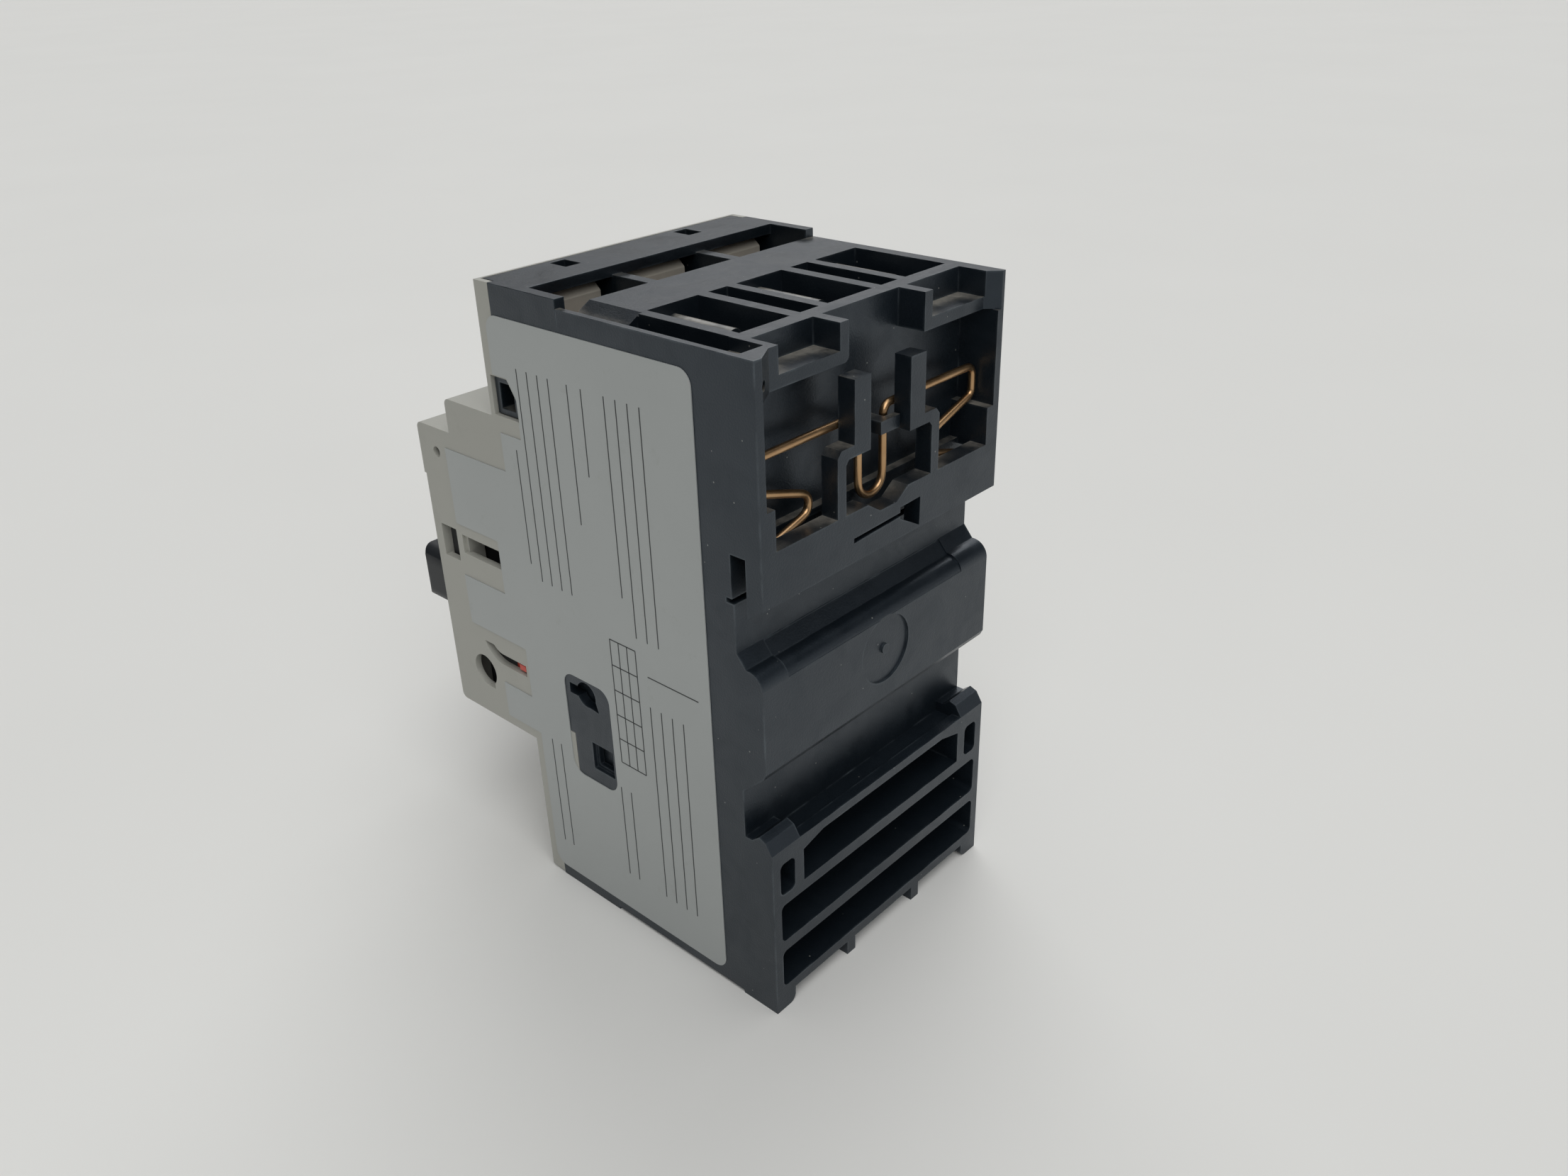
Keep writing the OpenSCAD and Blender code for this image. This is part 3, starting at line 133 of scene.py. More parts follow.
# Each lamp: the direction that it shines from, how many degrees wide it is, and its strength.
lamps = (("overhead_lamp", (-0.05, 0.05, 1.0), 60, 1.0),
         ("camera_side_lamp", (0.50, 0.65, 0.85), 50, 1.25),
         ("front_lamp", (-0.70, -0.55, 0.80), 50, 0.88),
         ("low_rear_lamp", (-0.60, 1.0, 0.20), 40, 0.15))
for name, direction, degrees_wide, strength in lamps:
    bpy.ops.object.light_add(type="SUN", location=Vector(direction))
    lamp = bpy.context.object
    lamp.name = name
    lamp.data.angle = math.radians(degrees_wide)
    lamp.data.energy = strength
    lamp.rotation_euler = Vector(direction).to_track_quat("Z", "Y").to_euler()

world = bpy.data.worlds.new("white_room")
bpy.context.scene.world = world
world.use_nodes = True
room_light = world.node_tree.nodes["Background"]
room_light.inputs["Color"].default_value = linear("#f7f8fa")
room_light.inputs["Strength"].default_value = 0.07

bpy.context.scene.view_settings.view_transform = "Standard"

# The camera was fitted to fifteen corners of the housing.
camera_place = (0.11122, 0.08952, 0.08341)
azimuth = math.radians(132.70)
elevation = math.radians(27.89)
roll = math.radians(-1.63)
photo_width_px = 2212
focal_length_px = 1810.54
sensor_width_mm = 36.0
back = Vector((math.sin(azimuth) * math.cos(elevation),
               -math.cos(azimuth) * math.cos(elevation),
               math.sin(elevation)))
level_right = (-back).cross(Vector((0, 0, 1))).normalized()
level_above = level_right.cross(-back)
right = math.cos(roll) * level_right + math.sin(roll) * level_above
above = math.cos(roll) * level_above - math.sin(roll) * level_right
bpy.ops.object.camera_add(location=camera_place)
camera = bpy.context.object
camera.name = "photo_camera"
camera.rotation_euler = Matrix((right, above, back)).transposed().to_euler()
camera.data.sensor_fit = "HORIZONTAL"
camera.data.sensor_width = sensor_width_mm
camera.data.lens = sensor_width_mm * focal_length_px / photo_width_px
camera.data.clip_start = 0.005
bpy.context.scene.camera = camera

# Rear base: one deep moulding that takes the rail, the spring and the pole chambers.
# Black polyamide filled with glass fibre, injection moulded with a fine spark-eroded grain;
# its edges are broken by two tenths of a millimetre and painted lighter, partly as rubbed wear, partly as a
# painted highlight.

# Where dust starts to lie and where it lies fully, as heights and as a depth in the vents.
base_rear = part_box("rear_base")[1][1]
base_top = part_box("rear_base")[1][2]
ledge_clean_z = base_top - 0.02385
ledge_dusty_z = base_top - 0.02265
vent_clean_y = base_rear - 0.0229
vent_dusty_y = base_rear - 0.0209
bar_clean_z = base_top - 0.00235
bar_dusty_z = base_top - 0.00155
rim_dusty_z = base_top - 0.00105
rim_clean_z = base_top - 0.00065


def glass_filled_polyamide(name, dark, light, worn_edge_and_highlight, dust):
    """Moulded black nylon: a cool sheen, grain, faint flow marks, rubbed edges with a painted highlight, dust
    on ledges.
    """
    material = new_material(name, IOR=1.60, Specular_Tint=linear("#d8e6f6"))
    where = add_node(material, "ShaderNodeTexCoord").outputs["Object"]
    flow = add_node(material, "ShaderNodeTexNoise", Scale=1 / 0.012, Detail=4.0, Roughness=0.6,
                    links=[("Vector", where)])
    tone = add_node(material, "ShaderNodeMix", data_type="RGBA", A=dark, B=light,
                    links=[("Factor", flow.outputs["Fac"])])
    # Rubbed edges, lightened partly as wear and partly as a painted highlight: where the rounded normal
    # leaves the flat one, broken up by a 4 mm noise.
    edge = add_node(material, "ShaderNodeBevel", samples=6, Radius=0.0005)
    flat = add_node(material, "ShaderNodeNewGeometry")
    facing = add_node(material, "ShaderNodeVectorMath", operation="DOT_PRODUCT",
                      links=[(0, edge.outputs["Normal"]), (1, flat.outputs["Normal"])])
    edge_wear_and_highlight = add_node(material, "ShaderNodeMapRange", From_Min=0.99, From_Max=0.80,
                   links=[("Value", facing.outputs["Value"])])
    patch = add_node(material, "ShaderNodeTexNoise", Scale=1 / 0.004, Detail=3.0, links=[("Vector", where)])
    patchy = add_node(material, "ShaderNodeMapRange", From_Min=0.40, From_Max=0.75, To_Max=0.6,
                      links=[("Value", patch.outputs["Fac"])])
    wear_and_highlight_here = add_node(material, "ShaderNodeMath", operation="MULTIPLY",
                         links=[(0, edge_wear_and_highlight.outputs["Result"]), (1, patchy.outputs["Result"])])
    edged = add_node(material, "ShaderNodeMix", data_type="RGBA", B=worn_edge_and_highlight,
                     links=[("Factor", wear_and_highlight_here.outputs["Value"]), ("A", tone.outputs["Result"])])
    # Dust lies on what faces up, thickest in hollows 3 mm wide and on the bars of the vents, and not in
    # the pockets below the rail.
    up = add_node(material, "ShaderNodeSeparateXYZ", links=[("Vector", flat.outputs["Normal"])])
    place = add_node(material, "ShaderNodeSeparateXYZ", links=[("Vector", where)])
    above_rail = add_node(material, "ShaderNodeMapRange", From_Min=ledge_clean_z, From_Max=ledge_dusty_z,
                          links=[("Value", place.outputs["Z"])])
    hollow = add_node(material, "ShaderNodeAmbientOcclusion", samples=8, Distance=0.003)
    deep = add_node(material, "ShaderNodeMapRange", From_Min=0.97, From_Max=0.65, To_Min=0.05,
                    links=[("Value", hollow.outputs["AO"])])
    drift = add_node(material, "ShaderNodeTexNoise", Scale=1 / 0.004, Detail=5.0, Roughness=0.65,
                     links=[("Vector", where)])
    drifted = add_node(material, "ShaderNodeMapRange", From_Min=0.30, From_Max=0.65, To_Max=dust,
                       links=[("Value", drift.outputs["Fac"])])
    lying = add_node(material, "ShaderNodeMath", operation="MULTIPLY", use_clamp=True,
                     links=[(0, up.outputs["Z"]), (1, drifted.outputs["Result"])])
    ledges = add_node(material, "ShaderNodeMath", operation="MULTIPLY",
                      links=[(0, deep.outputs["Result"]), (1, above_rail.outputs["Result"])])
    vents = add_node(material, "ShaderNodeMapRange", From_Min=vent_clean_y, From_Max=vent_dusty_y,
                     links=[("Value", place.outputs["Y"])])
    vent_bars = add_node(material, "ShaderNodeMapRange", From_Min=bar_clean_z, From_Max=bar_dusty_z,
                         links=[("Value", place.outputs["Z"]), ("To Max", vents.outputs["Result"])])
    below_rim = add_node(material, "ShaderNodeMapRange", From_Min=rim_clean_z, From_Max=rim_dusty_z,
                         links=[("Value", place.outputs["Z"]), ("To Max", vent_bars.outputs["Result"])])
    thick = add_node(material, "ShaderNodeMath", operation="ADD",
                     links=[(0, ledges.outputs["Value"]), (1, below_rim.outputs["Result"])])
    dusty = add_node(material, "ShaderNodeMath", operation="MULTIPLY", use_clamp=True,
                     links=[(0, lying.outputs["Value"]), (1, thick.outputs["Value"])])
    grey = add_node(material, "ShaderNodeMix", data_type="RGBA", B="#97938a",
                    links=[("Factor", dusty.outputs["Value"]), ("A", edged.outputs["Result"])])
    # Single pale specks up to 0.2 mm across, about one in every square centimetre.
    cell = add_node(material, "ShaderNodeTexVoronoi", Scale=1 / 0.0025, links=[("Vector", where)])
    speck = add_node(material, "ShaderNodeMapRange", From_Min=0.045, From_Max=0.030, To_Max=0.5,
                     links=[("Value", cell.outputs["Distance"])])
    add_node(material, "ShaderNodeMix", data_type="RGBA", B="#a8a8a2",
             links=[("Factor", speck.outputs["Result"]), ("A", grey.outputs["Result"])], to="Base Color")
    # Smears from handling, 5 mm wide, leave some places shinier than others.
    smear = add_node(material, "ShaderNodeTexNoise", Scale=1 / 0.005, Detail=4.0, Roughness=0.6,
                     Distortion=0.8, links=[("Vector", where)])
    add_node(material, "ShaderNodeMapRange", From_Min=0.35, From_Max=0.65, To_Min=0.28, To_Max=0.42,
             links=[("Value", smear.outputs["Fac"])], to="Roughness")
    # Sink marks 9 mm long, and a grain of about 0.25 mm, drawn coarser than the real 0.05 mm so that
    # it shows.
    sink = add_node(material, "ShaderNodeTexNoise", Scale=1 / 0.009, Detail=1.0, links=[("Vector", where)])
    waves = add_node(material, "ShaderNodeBump", Strength=0.30, Distance=0.00015,
                     links=[("Height", sink.outputs["Fac"])])
    grain = add_node(material, "ShaderNodeTexNoise", Scale=1 / 0.00025, Detail=2.0, links=[("Vector", where)])
    add_node(material, "ShaderNodeBump", Strength=0.40, Distance=0.00006,
             links=[("Height", grain.outputs["Fac"]), ("Normal", waves.outputs["Normal"])], to="Normal")
    return material


def merged_copy(node):
    """Copies a node's mesh into a new piece, merges its loose triangles and leaves it in edit mode."""
    bpy.ops.object.select_all(action="DESELECT")
    piece = bpy.data.objects.new(node + "_finished", frame["nodes"][node].data.copy())
    bpy.context.scene.collection.objects.link(piece)
    bpy.context.view_layer.objects.active = piece
    piece.select_set(True)
    if piece.data.has_custom_normals:
        bpy.ops.mesh.customdata_custom_splitnormals_clear()
    bpy.ops.object.mode_set(mode="EDIT")
    bpy.ops.mesh.select_all(action="SELECT")
    bpy.ops.mesh.remove_doubles(threshold=2e-6)
    return piece


def rounded_copy(node, material, edge, angle=32, segments=2, smooth=40):
    """A copy, shown instead of its node, with edges past angle degrees broken by edge metres."""
    source = frame["nodes"][node]
    piece = merged_copy(node)
    bpy.ops.mesh.dissolve_limited(angle_limit=math.radians(0.5))
    bpy.ops.object.mode_set(mode="OBJECT")
    bevel = piece.modifiers.new("broken_edges", "BEVEL")
    bevel.width = edge
    bevel.segments = segments
    bevel.limit_method = "ANGLE"
    bevel.angle_limit = math.radians(angle)
    bevel.use_clamp_overlap = True
    bpy.ops.object.modifier_apply(modifier=bevel.name)
    bpy.ops.object.shade_smooth_by_angle(angle=math.radians(smooth))
    level = piece.modifiers.new("level_flats", "WEIGHTED_NORMAL")
    level.mode = "FACE_AREA"
    level.keep_sharp = True
    bpy.ops.object.modifier_apply(modifier=level.name)
    piece.data.materials.clear()
    piece.data.materials.append(material)
    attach(piece, source["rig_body"])
    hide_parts(node)


# Fewer degrees than on other pieces count as an edge here, so that shallow steps stay crisp.
shallow_edge = 17
base_polyamide = glass_filled_polyamide("black_polyamide_base", "#10151a", "#181f25", "#626b70", dust=0.85)
rounded_copy("rear_base", base_polyamide, edge=0.00022, smooth=shallow_edge)

# Terminal frame: the middle moulding, snapped to the base, with the wire entries at both ends.
# The same black polyamide from another tool, a shade deeper and with less dust on its top face.

frame_polyamide = glass_filled_polyamide("black_polyamide_frame", "#0e1317", "#151c21", "#5c656a", dust=0.35)
rounded_copy("terminal_frame", frame_polyamide, edge=0.0002, smooth=shallow_edge)

# Front cover: the pale front shell with its flange strip and stepped nose, latched to the frame.
# Warm light grey polycarbonate blend, moulded with a fine matt grain and slightly yellowed.


def moulded_plastic(name, dark, light, soil, grain, rough, ior=1.55):
    """Plain plastic, ink or board: faint flow clouds, handling marks, and a grain of that many metres."""
    material = new_material(name, Roughness=rough, IOR=ior)
    where = add_node(material, "ShaderNodeTexCoord").outputs["Object"]
    flow = add_node(material, "ShaderNodeTexNoise", Scale=1 / 0.02, Detail=3.0, links=[("Vector", where)])
    tone = add_node(material, "ShaderNodeMix", data_type="RGBA", A=dark, B=light,
                    links=[("Factor", flow.outputs["Fac"])])
    smudge = add_node(material, "ShaderNodeTexNoise", Scale=1 / 0.006, Detail=6.0, Roughness=0.7,
                      links=[("Vector", where)])
    soiled = add_node(material, "ShaderNodeMapRange", From_Min=0.58, From_Max=0.80, To_Max=0.35,
                      links=[("Value", smudge.outputs["Fac"])])
    add_node(material, "ShaderNodeMix", data_type="RGBA", B=soil,
             links=[("Factor", soiled.outputs["Result"]), ("A", tone.outputs["Result"])], to="Base Color")
    texture = add_node(material, "ShaderNodeTexNoise", Scale=1 / grain, Detail=2.0, links=[("Vector", where)])
    add_node(material, "ShaderNodeBump", Strength=0.12, Distance=grain / 5,
             links=[("Height", texture.outputs["Fac"])], to="Normal")
    return material


cover_plastic = moulded_plastic("grey_polycarbonate_cover", "#a2a29b", "#aaaaa2", "#8f8e85",
                                grain=0.0003, rough=0.5, ior=1.58)
rounded_copy("front_cover", cover_plastic, edge=0.0002)

# Print on the front: terminal numbers on the flange, the two switch positions, the word under the
# test button and the dial's scale, pad printed in dark grey ink.

ink_thickness = 0.00002
ink = moulded_plastic("dark_grey_pad_print", "#2c2e30", "#36383a", "#44464a", grain=0.0002, rough=0.6)
flange_past_frame = 0.0006
flange_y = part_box("terminal_frame")[0][1] - flange_past_frame
nose_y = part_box("setting_dial")[0][1]
knob_low, knob_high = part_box("knob")
knob_z = (knob_low[2] + knob_high[2]) / 2
dial_low, dial_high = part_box("setting_dial")
dial_x = (dial_low[0] + dial_high[0]) / 2
dial_z = (dial_low[2] + dial_high[2]) / 2
button_low, button_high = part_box("test_button")
button_x = (button_low[0] + button_high[0]) / 2


def ride_print(strokes, name, material):
    """Joins printed pieces into one, puts the ink on it and fixes it to the housing."""
    bpy.ops.object.select_all(action="DESELECT")
    for stroke in strokes:
        stroke.select_set(True)
    bpy.context.view_layer.objects.active = strokes[0]
    bpy.ops.object.join()
    piece = bpy.context.object
    piece.name = name
    piece.data.materials.clear()
    piece.data.materials.append(material)
    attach(piece, "housing")


def printed_words(words, height, x, y, z):
    """Words of that height, read from the front, centred on a point of a face that looks forward."""
    font_size_per_height = 1.38
    bpy.ops.object.select_all(action="DESELECT")
    bpy.ops.object.text_add()
    text = bpy.context.object
    text.data.body = words
    text.data.size = height * font_size_per_height
    text.data.align_x = "CENTER"
    text.data.align_y = "CENTER"
    text.data.extrude = ink_thickness / 2
    bpy.ops.object.convert(target="MESH")
    text = bpy.context.object
    text.rotation_euler = (math.pi / 2, 0, 0)
    text.location = (x, y - ink_thickness / 2, z)
    bpy.ops.object.transform_apply(location=True, rotation=True, scale=True)
    return text


def printed_bar(centre, length, width, turn, normal):
    """A printed bar lying on a face that looks forward (-Y) or to the right (+X)."""
    bpy.ops.object.select_all(action="DESELECT")
    bpy.ops.mesh.primitive_plane_add(size=1.0)
    bar = bpy.context.object
    bar.scale = (length, width, 1.0)
    bpy.ops.object.transform_apply(location=True, rotation=True, scale=True)
    bpy.ops.object.mode_set(mode="EDIT")
    bpy.ops.mesh.select_all(action="SELECT")
    bpy.ops.mesh.extrude_region_move(TRANSFORM_OT_translate={"value": (0, 0, -ink_thickness)})
    bpy.ops.mesh.select_all(action="SELECT")
    bpy.ops.mesh.normals_make_consistent(inside=False)
    bpy.ops.object.mode_set(mode="OBJECT")
    upright = Matrix.Rotation(math.pi / 2, 4, "X")
    if normal == "+X":
        upright = Matrix.Rotation(math.pi / 2, 4, "Z") @ upright
    bar.matrix_world = Matrix.Translation(centre) @ upright @ Matrix.Rotation(turn, 4, "Z")
    bpy.ops.object.transform_apply(location=True, rotation=True, scale=True)
    return bar


# Terminal numbers: odd ones above the line screws, even ones below the load screws.
number_height = 0.0019
number_from_screw = 0.0059
flange_marks = []
for pole in (1, 2, 3):
    for end, number, beyond in (("line", 2 * pole - 1, number_from_screw),
                                ("load", 2 * pole, -number_from_screw)):
        screw_low, screw_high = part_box(f"{end}_screw_{pole}")
        screw_x = (screw_low[0] + screw_high[0]) / 2
        screw_z = (screw_low[2] + screw_high[2]) / 2
        flange_marks.append(printed_words(str(number), number_height, screw_x, flange_y, screw_z + beyond))

# Switch positions left of the knob and above it, and the word under the button.
position_height = 0.0024
off_from_knob = 0.0182
on_from_knob = 0.0172
word_height = 0.0013
word_below_button = 0.0018
nose_marks = [printed_words("O", position_height, -off_from_knob, nose_y, knob_z),
              printed_words("I", position_height, 0.0, nose_y, knob_z + on_from_knob),
              printed_words("TEST", word_height, button_x, nose_y, button_low[2] - word_below_button)]

# The dial's scale: thirteen ticks over 230 degrees, with a long tick and a number at every fourth.
scale_start = 155
scale_sweep = 230
scale_steps = 12
steps_per_number = 4
tick_width = 0.0002
long_tick_reach = 0.0064
long_tick_length = 0.0012
short_tick_reach = 0.0062
short_tick_length = 0.0007
scale_height = 0.0011
scale_reach_x = 0.0082
scale_reach_z = 0.0080
scale_numbers = ("1", "1.2", "1.4", "1.6")
for step in range(scale_steps + 1):
    angle = math.radians(scale_start + step * scale_sweep / scale_steps)
    numbered = step % steps_per_number == 0
    reach = long_tick_reach if numbered else short_tick_reach
    tick_length = long_tick_length if numbered else short_tick_length
    tick_centre = (dial_x + reach * math.cos(angle), nose_y, dial_z + reach * math.sin(angle))
    nose_marks.append(printed_bar(tick_centre, tick_length, tick_width, angle, "-Y"))
for step, number in zip(range(0, scale_steps + 1, steps_per_number), scale_numbers):
    angle = math.radians(scale_start + step * scale_sweep / scale_steps)
    nose_marks.append(printed_words(number, scale_height, dial_x + scale_reach_x * math.cos(angle), nose_y,
                                    dial_z + scale_reach_z * math.sin(angle)))
ride_print(flange_marks, "terminal_numbers", ink)
ride_print(nose_marks, "front_marks", ink)

# Label film: a die-cut polyester film stuck on one side, with a satin silver-grey face.
# Ruled lines and an empty table are printed on it in the same dark ink.

# Faint clouds, small grey scuffs and a slight orange peel under the satin gloss.
film = new_material("silver_grey_polyester_film", Roughness=0.42, Metallic=0.1)
film_where = add_node(film, "ShaderNodeTexCoord").outputs["Object"]
film_cloud = add_node(film, "ShaderNodeTexNoise", Scale=1 / 0.015, Detail=4.0, links=[("Vector", film_where)])
film_tone = add_node(film, "ShaderNodeMix", data_type="RGBA", A="#a4a8a7", B="#abafae",
                     links=[("Factor", film_cloud.outputs["Fac"])])
film_scuff = add_node(film, "ShaderNodeTexNoise", Scale=1 / 0.003, Detail=6.0, Roughness=0.75,
                      links=[("Vector", film_where)])
film_worn = add_node(film, "ShaderNodeMapRange", From_Min=0.60, From_Max=0.82, To_Max=0.3,
                     links=[("Value", film_scuff.outputs["Fac"])])
add_node(film, "ShaderNodeMix", data_type="RGBA", B="#86877f",
         links=[("Factor", film_worn.outputs["Result"]), ("A", film_tone.outputs["Result"])], to="Base Color")
film_peel = add_node(film, "ShaderNodeTexNoise", Scale=1 / 0.0022, Detail=1.0, links=[("Vector", film_where)])
add_node(film, "ShaderNodeBump", Strength=0.08, Distance=0.0001, links=[("Height", film_peel.outputs["Fac"])],
         to="Normal")
frame["nodes"]["label_film"].data.materials[0] = film

film_face, film_rear, film_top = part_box("label_film")[1]
rule_width = 0.00016
rules = []


def film_rule(rear, down, along, upright):
    """One printed line: its middle counted from the film's rear and top edges, and its length."""
    middle = (film_face + ink_thickness, film_rear - rear, film_top - down)
    rules.append(printed_bar(middle, along, rule_width, math.pi / 2 if upright else 0.0, "+X"))


# Blocks of upright lines: how many, the first one's place from the rear edge, the middle's place from
# the top edge, and the length. The blocks keep clear of the windows and the cut-outs.
line_pitch = 0.002
blocks = ((3, 0.0085, 0.0215, 0.031), (1, 0.0145, 0.0190, 0.026), (1, 0.0185, 0.0115, 0.011),
          (1, 0.0210, 0.0150, 0.018), (4, 0.0245, 0.0205, 0.029), (1, 0.0325, 0.0250, 0.016),
          (4, 0.0050, 0.0620, 0.031), (2, 0.0165, 0.0700, 0.015), (2, 0.0310, 0.0700, 0.018))
for lines, first, down, along in blocks:
    for line in range(lines):
        film_rule(first + line_pitch * line, down, along, upright=True)
film_rule(rear=0.0065, down=0.0420, along=0.0090, upright=False)

# An empty table of three columns and five rows.
columns = 3
column_pitch = 0.0016
rows = 5
row_pitch = 0.0038
table_rear = 0.0130
table_down = 0.0390
table_width = columns * column_pitch
table_height = rows * row_pitch
for column in range(columns + 1):
    film_rule(table_rear + column_pitch * column, table_down + table_height / 2, table_height, upright=True)
for row in range(rows + 1):
    film_rule(table_rear + table_width / 2, table_down + row_pitch * row, table_width, upright=False)
ride_print(rules, "label_rules", ink)

# Rail spring: one piece of spring steel wire, bent cold and yellow passivated.
# It lies behind the prongs of the base and presses the rail into its seat.

# The passivation gives patchy gold tones and a gloss that changes with them.
wire = new_material("yellow_passivated_spring_wire", Metallic=1.0)
wire_where = add_node(wire, "ShaderNodeTexCoord").outputs["Object"]
wire_cloud = add_node(wire, "ShaderNodeTexNoise", Scale=1 / 0.003, Detail=4.0, links=[("Vector", wire_where)])
add_node(wire, "ShaderNodeMix", data_type="RGBA", A="#a27c54", B="#d2b088",
         links=[("Factor", wire_cloud.outputs["Fac"])], to="Base Color")
add_node(wire, "ShaderNodeMapRange", To_Min=0.24, To_Max=0.42, links=[("Value", wire_cloud.outputs["Fac"])],
         to="Roughness")

# Subdividing makes the wire round but thinner, so it is swollen a little afterwards.
quad_angle = math.radians(60)
swell = 0.00003
spring = merged_copy("rail_spring")
bpy.ops.mesh.tris_convert_to_quads(face_threshold=quad_angle, shape_threshold=quad_angle)
bpy.ops.object.mode_set(mode="OBJECT")
round_wire = spring.modifiers.new("round_wire", "SUBSURF")
round_wire.levels = 2
round_wire.render_levels = 2
bpy.ops.object.modifier_apply(modifier=round_wire.name)
bpy.ops.object.mode_set(mode="EDIT")
bpy.ops.mesh.select_all(action="SELECT")
bpy.ops.transform.shrink_fatten(value=swell)
bpy.ops.object.mode_set(mode="OBJECT")
bpy.ops.object.shade_smooth()
spring.data.materials.clear()
spring.data.materials.append(wire)
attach(spring, "housing")
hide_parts("rail_spring")

# Knob: a round hub with a bar handle, moulded in black and pressed on the metal shaft.
# A white inlay in the groove of its front edge points at the switch position.

# Round pieces are facetted, so only edges sharper than this many degrees are broken on them.
round_edge = 50
knob_plastic = moulded_plastic("black_polyamide_knob", "#101418", "#171c21", "#2a3036",
                               grain=0.00025, rough=0.5, ior=1.5)
rounded_copy("knob", knob_plastic, edge=0.0005, angle=round_edge, segments=3)

# The inlay's walls take up seven tenths of the groove's depth, and its face rises a little above them.
inlay_enamel = moulded_plastic("white_pointer_enamel", "#d0d0ca", "#dadad6", "#b0aea4",
                               grain=0.0002, rough=0.45)
groove_from = -0.01275
groove_to = -0.00495
groove_depth = 0.0005
inlay_width = 0.00104
inlay_height = groove_depth * 0.7
rim_width = 0.00012
rim_height = 0.00006
bpy.ops.object.select_all(action="DESELECT")
bpy.ops.mesh.primitive_plane_add(size=1.0)
inlay = bpy.context.object
inlay.name = "knob_pointer"
inlay.scale = (groove_to - groove_from, inlay_width, 1.0)
bpy.ops.object.transform_apply(location=True, rotation=True, scale=True)
bpy.ops.object.mode_set(mode="EDIT")
bpy.ops.mesh.select_all(action="SELECT")
bpy.ops.mesh.extrude_region_move(TRANSFORM_OT_translate={"value": (0, 0, inlay_height)})
bpy.ops.mesh.inset(thickness=rim_width, depth=rim_height)
bpy.ops.mesh.select_all(action="SELECT")
bpy.ops.mesh.normals_make_consistent(inside=False)
bpy.ops.object.mode_set(mode="OBJECT")
inlay.rotation_euler = (math.pi / 2, 0, 0)
inlay.location = ((groove_from + groove_to) / 2, knob_low[1] + groove_depth, knob_z)
bpy.ops.object.transform_apply(location=True, rotation=True, scale=True)
inlay.data.materials.append(inlay_enamel)
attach(inlay, "knob_unit")


def plated_metal(name, dull, bright, rough, grain, metallic=1.0):
    """Bare or plated metal: clouded plating, and fine marks of that many metres from working it."""
    material = new_material(name, Metallic=metallic)
    where = add_node(material, "ShaderNodeTexCoord").outputs["Object"]
    cloud = add_node(material, "ShaderNodeTexNoise", Scale=1 / 0.004, Detail=5.0, Roughness=0.65,
                     links=[("Vector", where)])
    add_node(material, "ShaderNodeMix", data_type="RGBA", A=dull, B=bright,
             links=[("Factor", cloud.outputs["Fac"])], to="Base Color")
    marks = add_node(material, "ShaderNodeTexNoise", Scale=1 / grain, Detail=3.0, links=[("Vector", where)])
    add_node(material, "ShaderNodeMapRange", To_Min=rough - 0.1, To_Max=rough + 0.1,
             links=[("Value", marks.outputs["Fac"])], to="Roughness")
    add_node(material, "ShaderNodeBump", Strength=0.15, Distance=grain / 6,
             links=[("Height", marks.outputs["Fac"])], to="Normal")
    return material


turned_steel = plated_metal("zinc_plated_turned_steel", "#8b8f93", "#b4b7ba", rough=0.38, grain=0.0004)
rounded_copy("knob_shaft", turned_steel, edge=0.0002, angle=round_edge)

# Setting dial: an ivory thermoplastic disc with a screwdriver slot, on a stem that ends in the
# inner plate. Its edge is broken, and handling has soiled it a little.

dial_plastic = moulded_plastic("ivory_thermoplastic_dial", "#cfcabb", "#d8d4c6", "#a09a8a",
                               grain=0.0003, rough=0.45)
rounded_copy("setting_dial", dial_plastic, edge=0.0002, angle=round_edge)

# Test button: a red slider in a square hole of the cover, with a slot for a screwdriver tip.
# Glossier than the housing, because a finger and a blade keep it polished.

button_plastic = moulded_plastic("red_thermoplastic_button", "#8e2f28", "#9c372f", "#6d2a24",
                                 grain=0.0003, rough=0.38)
rounded_copy("test_button", button_plastic, edge=0.0002, angle=round_edge)

# Trip indicator: a red flag inside the wall of the cover, whose nub shows in the curved slot.
# Moulded in signal red, a little faded in patches.

flag_plastic = moulded_plastic("signal_red_flag", "#c23b2c", "#cf4a38", "#a8463a", grain=0.0003, rough=0.42)
rounded_copy("trip_indicator", flag_plastic, edge=0.00015, angle=round_edge)

# Terminals: saddle clamps of tinned steel with a bevelled lip, zinc plated slotted screws through
# them, and copper plates behind. The clamps show in the wire entries on both ends.

# The tin has dulled, so it is drawn less metallic than bare tin. The lip's bevel is shallow, so flatter
# edges are broken on the clamps too.
clamp_tin = plated_metal("tinned_steel_clamp", "#a5a095", "#bdb8ac", rough=0.6, grain=0.0005, metallic=0.3)
screw_zinc = plated_metal("zinc_plated_screw", "#a3a6a8", "#cfd1d2", rough=0.30, grain=0.0004)
terminal_copper = plated_metal("stamped_terminal_copper", "#a9694a", "#c98a68", rough=0.36, grain=0.0005)
lip_edge = 25
for pole in (1, 2, 3):
    for end in ("line", "load"):
        rounded_copy(f"{end}_clamp_{pole}", clamp_tin, edge=0.00015, angle=lip_edge)
        rounded_copy(f"{end}_screw_{pole}", screw_zinc, edge=0.00025, angle=round_edge, segments=3)
        rounded_copy(f"{end}_terminal_{pole}", terminal_copper, edge=0.00012, angle=round_edge)

# Current path inside: lower fixed contacts and moving bridges of copper, bimetal strips, coils
# wound with enamelled wire, the steel yokes and strikers of the short-circuit trips, and fibre
# arc chutes.

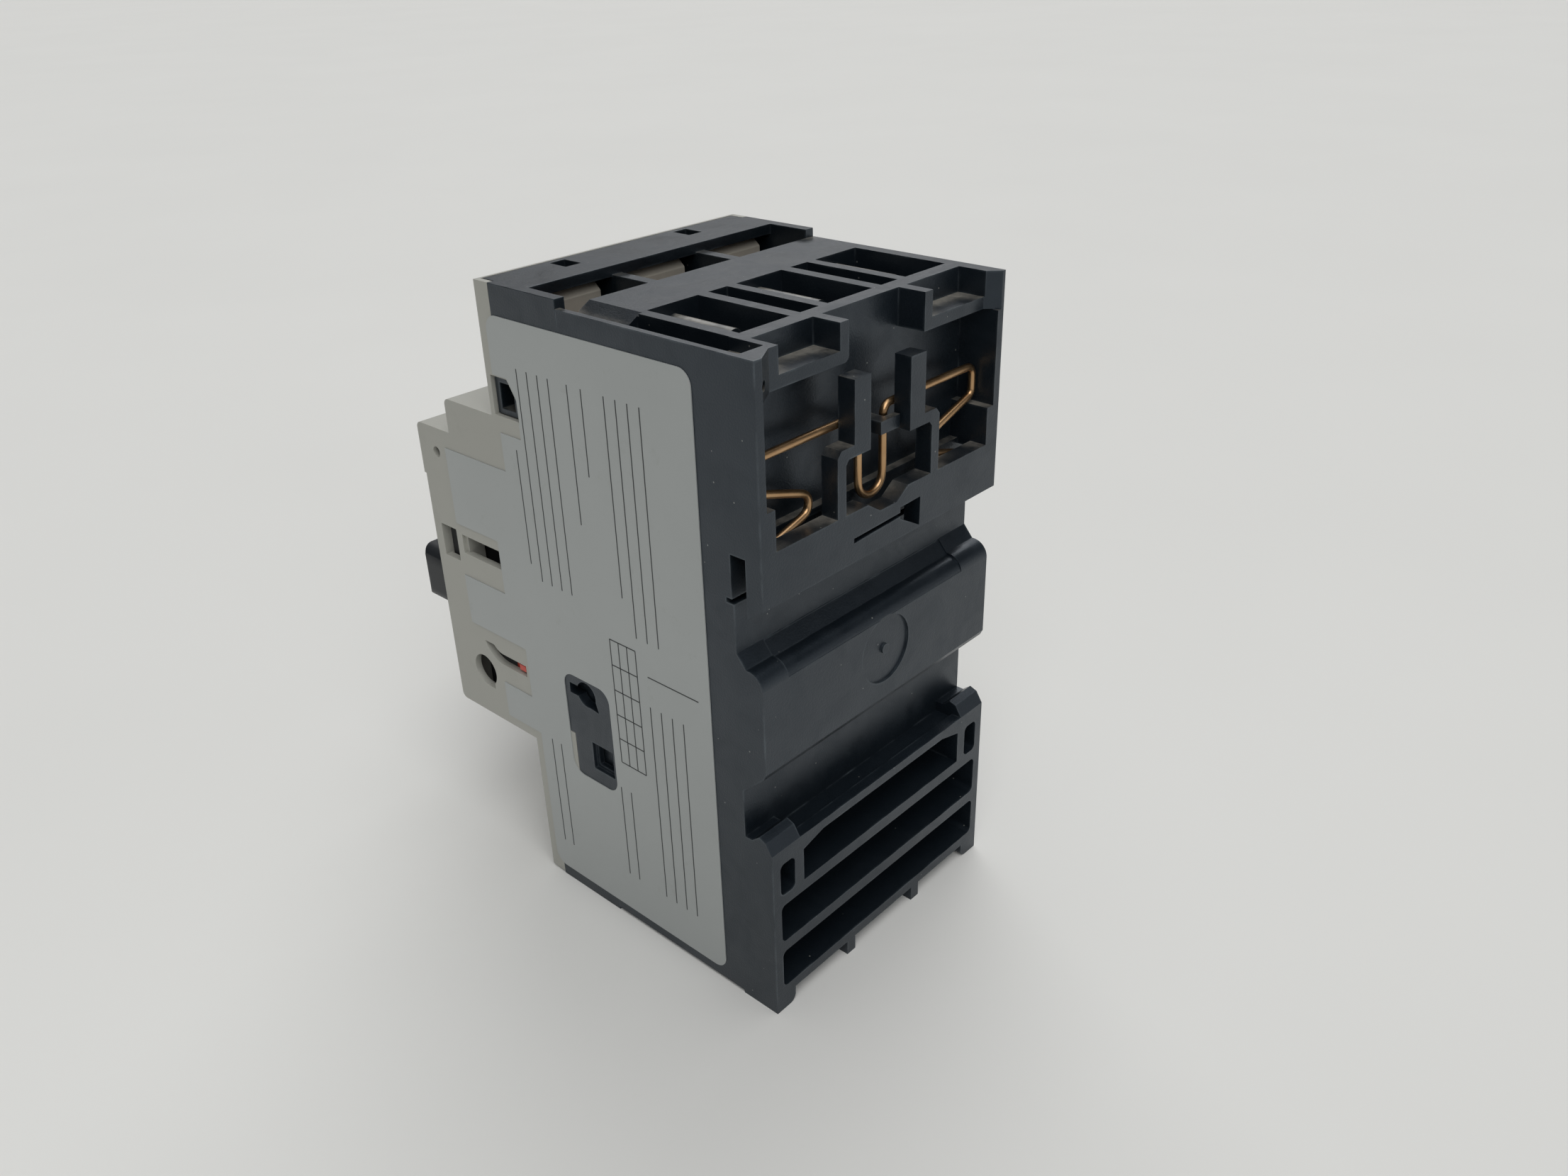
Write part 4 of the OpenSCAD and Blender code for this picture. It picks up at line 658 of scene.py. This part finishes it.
contact_copper = plated_metal("contact_copper", "#b06c48", "#d19470", rough=0.32, grain=0.0004)
bimetal_strip = plated_metal("rolled_bimetal_strip", "#9c8a68", "#b9a884", rough=0.36, grain=0.0006)
magnet_steel = plated_metal("phosphated_magnet_steel", "#5d6165", "#7d8185", rough=0.46, grain=0.0005)

# Winding of 0.8 mm wire: rings along the coil's axis under a brown varnish. A wave texture of scale 1
# repeats every 2 pi / 20 of a metre.
coil_wire_pitch = 0.0008
coil_wire = new_material("enamelled_coil_winding", Metallic=0.6, Roughness=0.35)
coil_where = add_node(coil_wire, "ShaderNodeTexCoord").outputs["Object"]
coil_rings = add_node(coil_wire, "ShaderNodeTexWave", wave_type="BANDS", bands_direction="Y",
                      Scale=2 * math.pi / 20 / coil_wire_pitch, Distortion=0.4, Detail=1.0,
                      links=[("Vector", coil_where)])
add_node(coil_wire, "ShaderNodeMix", data_type="RGBA", A="#5a2c16", B="#a45a30",
         links=[("Factor", coil_rings.outputs["Fac"])], to="Base Color")
add_node(coil_wire, "ShaderNodeBump", Strength=0.6, Distance=0.0002,
         links=[("Height", coil_rings.outputs["Fac"])], to="Normal")

# Vulcanised fibre: mottled brown board, pressed from paper.
chute_fibre = moulded_plastic("vulcanised_fibre_chute", "#6d5f4c", "#7f7059", "#544a3c",
                              grain=0.0006, rough=0.7)

pole_finishes = {"lower_contact": contact_copper, "bridge": contact_copper, "bimetal": bimetal_strip,
                 "trip_coil": coil_wire, "yoke": magnet_steel, "striker": magnet_steel,
                 "arc_chute": chute_fibre}
for pole in (1, 2, 3):
    for part, finish in pole_finishes.items():
        frame["nodes"][f"{part}_{pole}"].data.materials[0] = finish

# Mechanism: a black inner plate that bears the shaft and the dial, a zinc plated lock frame with its
# pin and toggle lever, the ivory carrier that pushes the bridges, a tan trip slide, contact springs
# and woven heater sleeves. They show only through gaps.

inner_plastic = moulded_plastic("black_inner_plate", "#101113", "#17191b", "#24262a", grain=0.0003, rough=0.7)
stamped_zinc = plated_metal("zinc_plated_stamping", "#8f9396", "#b7babc", rough=0.36, grain=0.0005)
carrier_thermoset = moulded_plastic("ivory_thermoset_carrier", "#b8ae94", "#c6bda4", "#94897a",
                                    grain=0.0004, rough=0.55)
trip_thermoset = moulded_plastic("tan_thermoset_slide", "#a8966a", "#b8a77c", "#86785a",
                                 grain=0.0004, rough=0.55)
drawn_wire = plated_metal("drawn_spring_steel", "#9a9da0", "#c6c8ca", rough=0.28, grain=0.0003)

# Woven glass sleeve: a 0.5 mm checkered weave in off-white yarn.
sleeve_glass = new_material("woven_glass_sleeve", Roughness=0.8)
sleeve_where = add_node(sleeve_glass, "ShaderNodeTexCoord").outputs["Object"]
sleeve_weave = add_node(sleeve_glass, "ShaderNodeTexChecker", Scale=1 / 0.0005,
                        Color1="#d8d0ba", Color2="#b9b09a",
                        links=[("Vector", sleeve_where)], to="Base Color")
add_node(sleeve_glass, "ShaderNodeBump", Strength=0.4, Distance=0.0001,
         links=[("Height", sleeve_weave.outputs["Fac"])], to="Normal")

mechanism_finishes = {"mechanism_plate": inner_plastic, "lock_frame": stamped_zinc,
                      "toggle_lever": stamped_zinc, "contact_carrier": carrier_thermoset,
                      "trip_bar": trip_thermoset, "contact_springs": drawn_wire, "heaters": sleeve_glass}
for node, finish in mechanism_finishes.items():
    frame["nodes"][node].data.materials[0] = finish
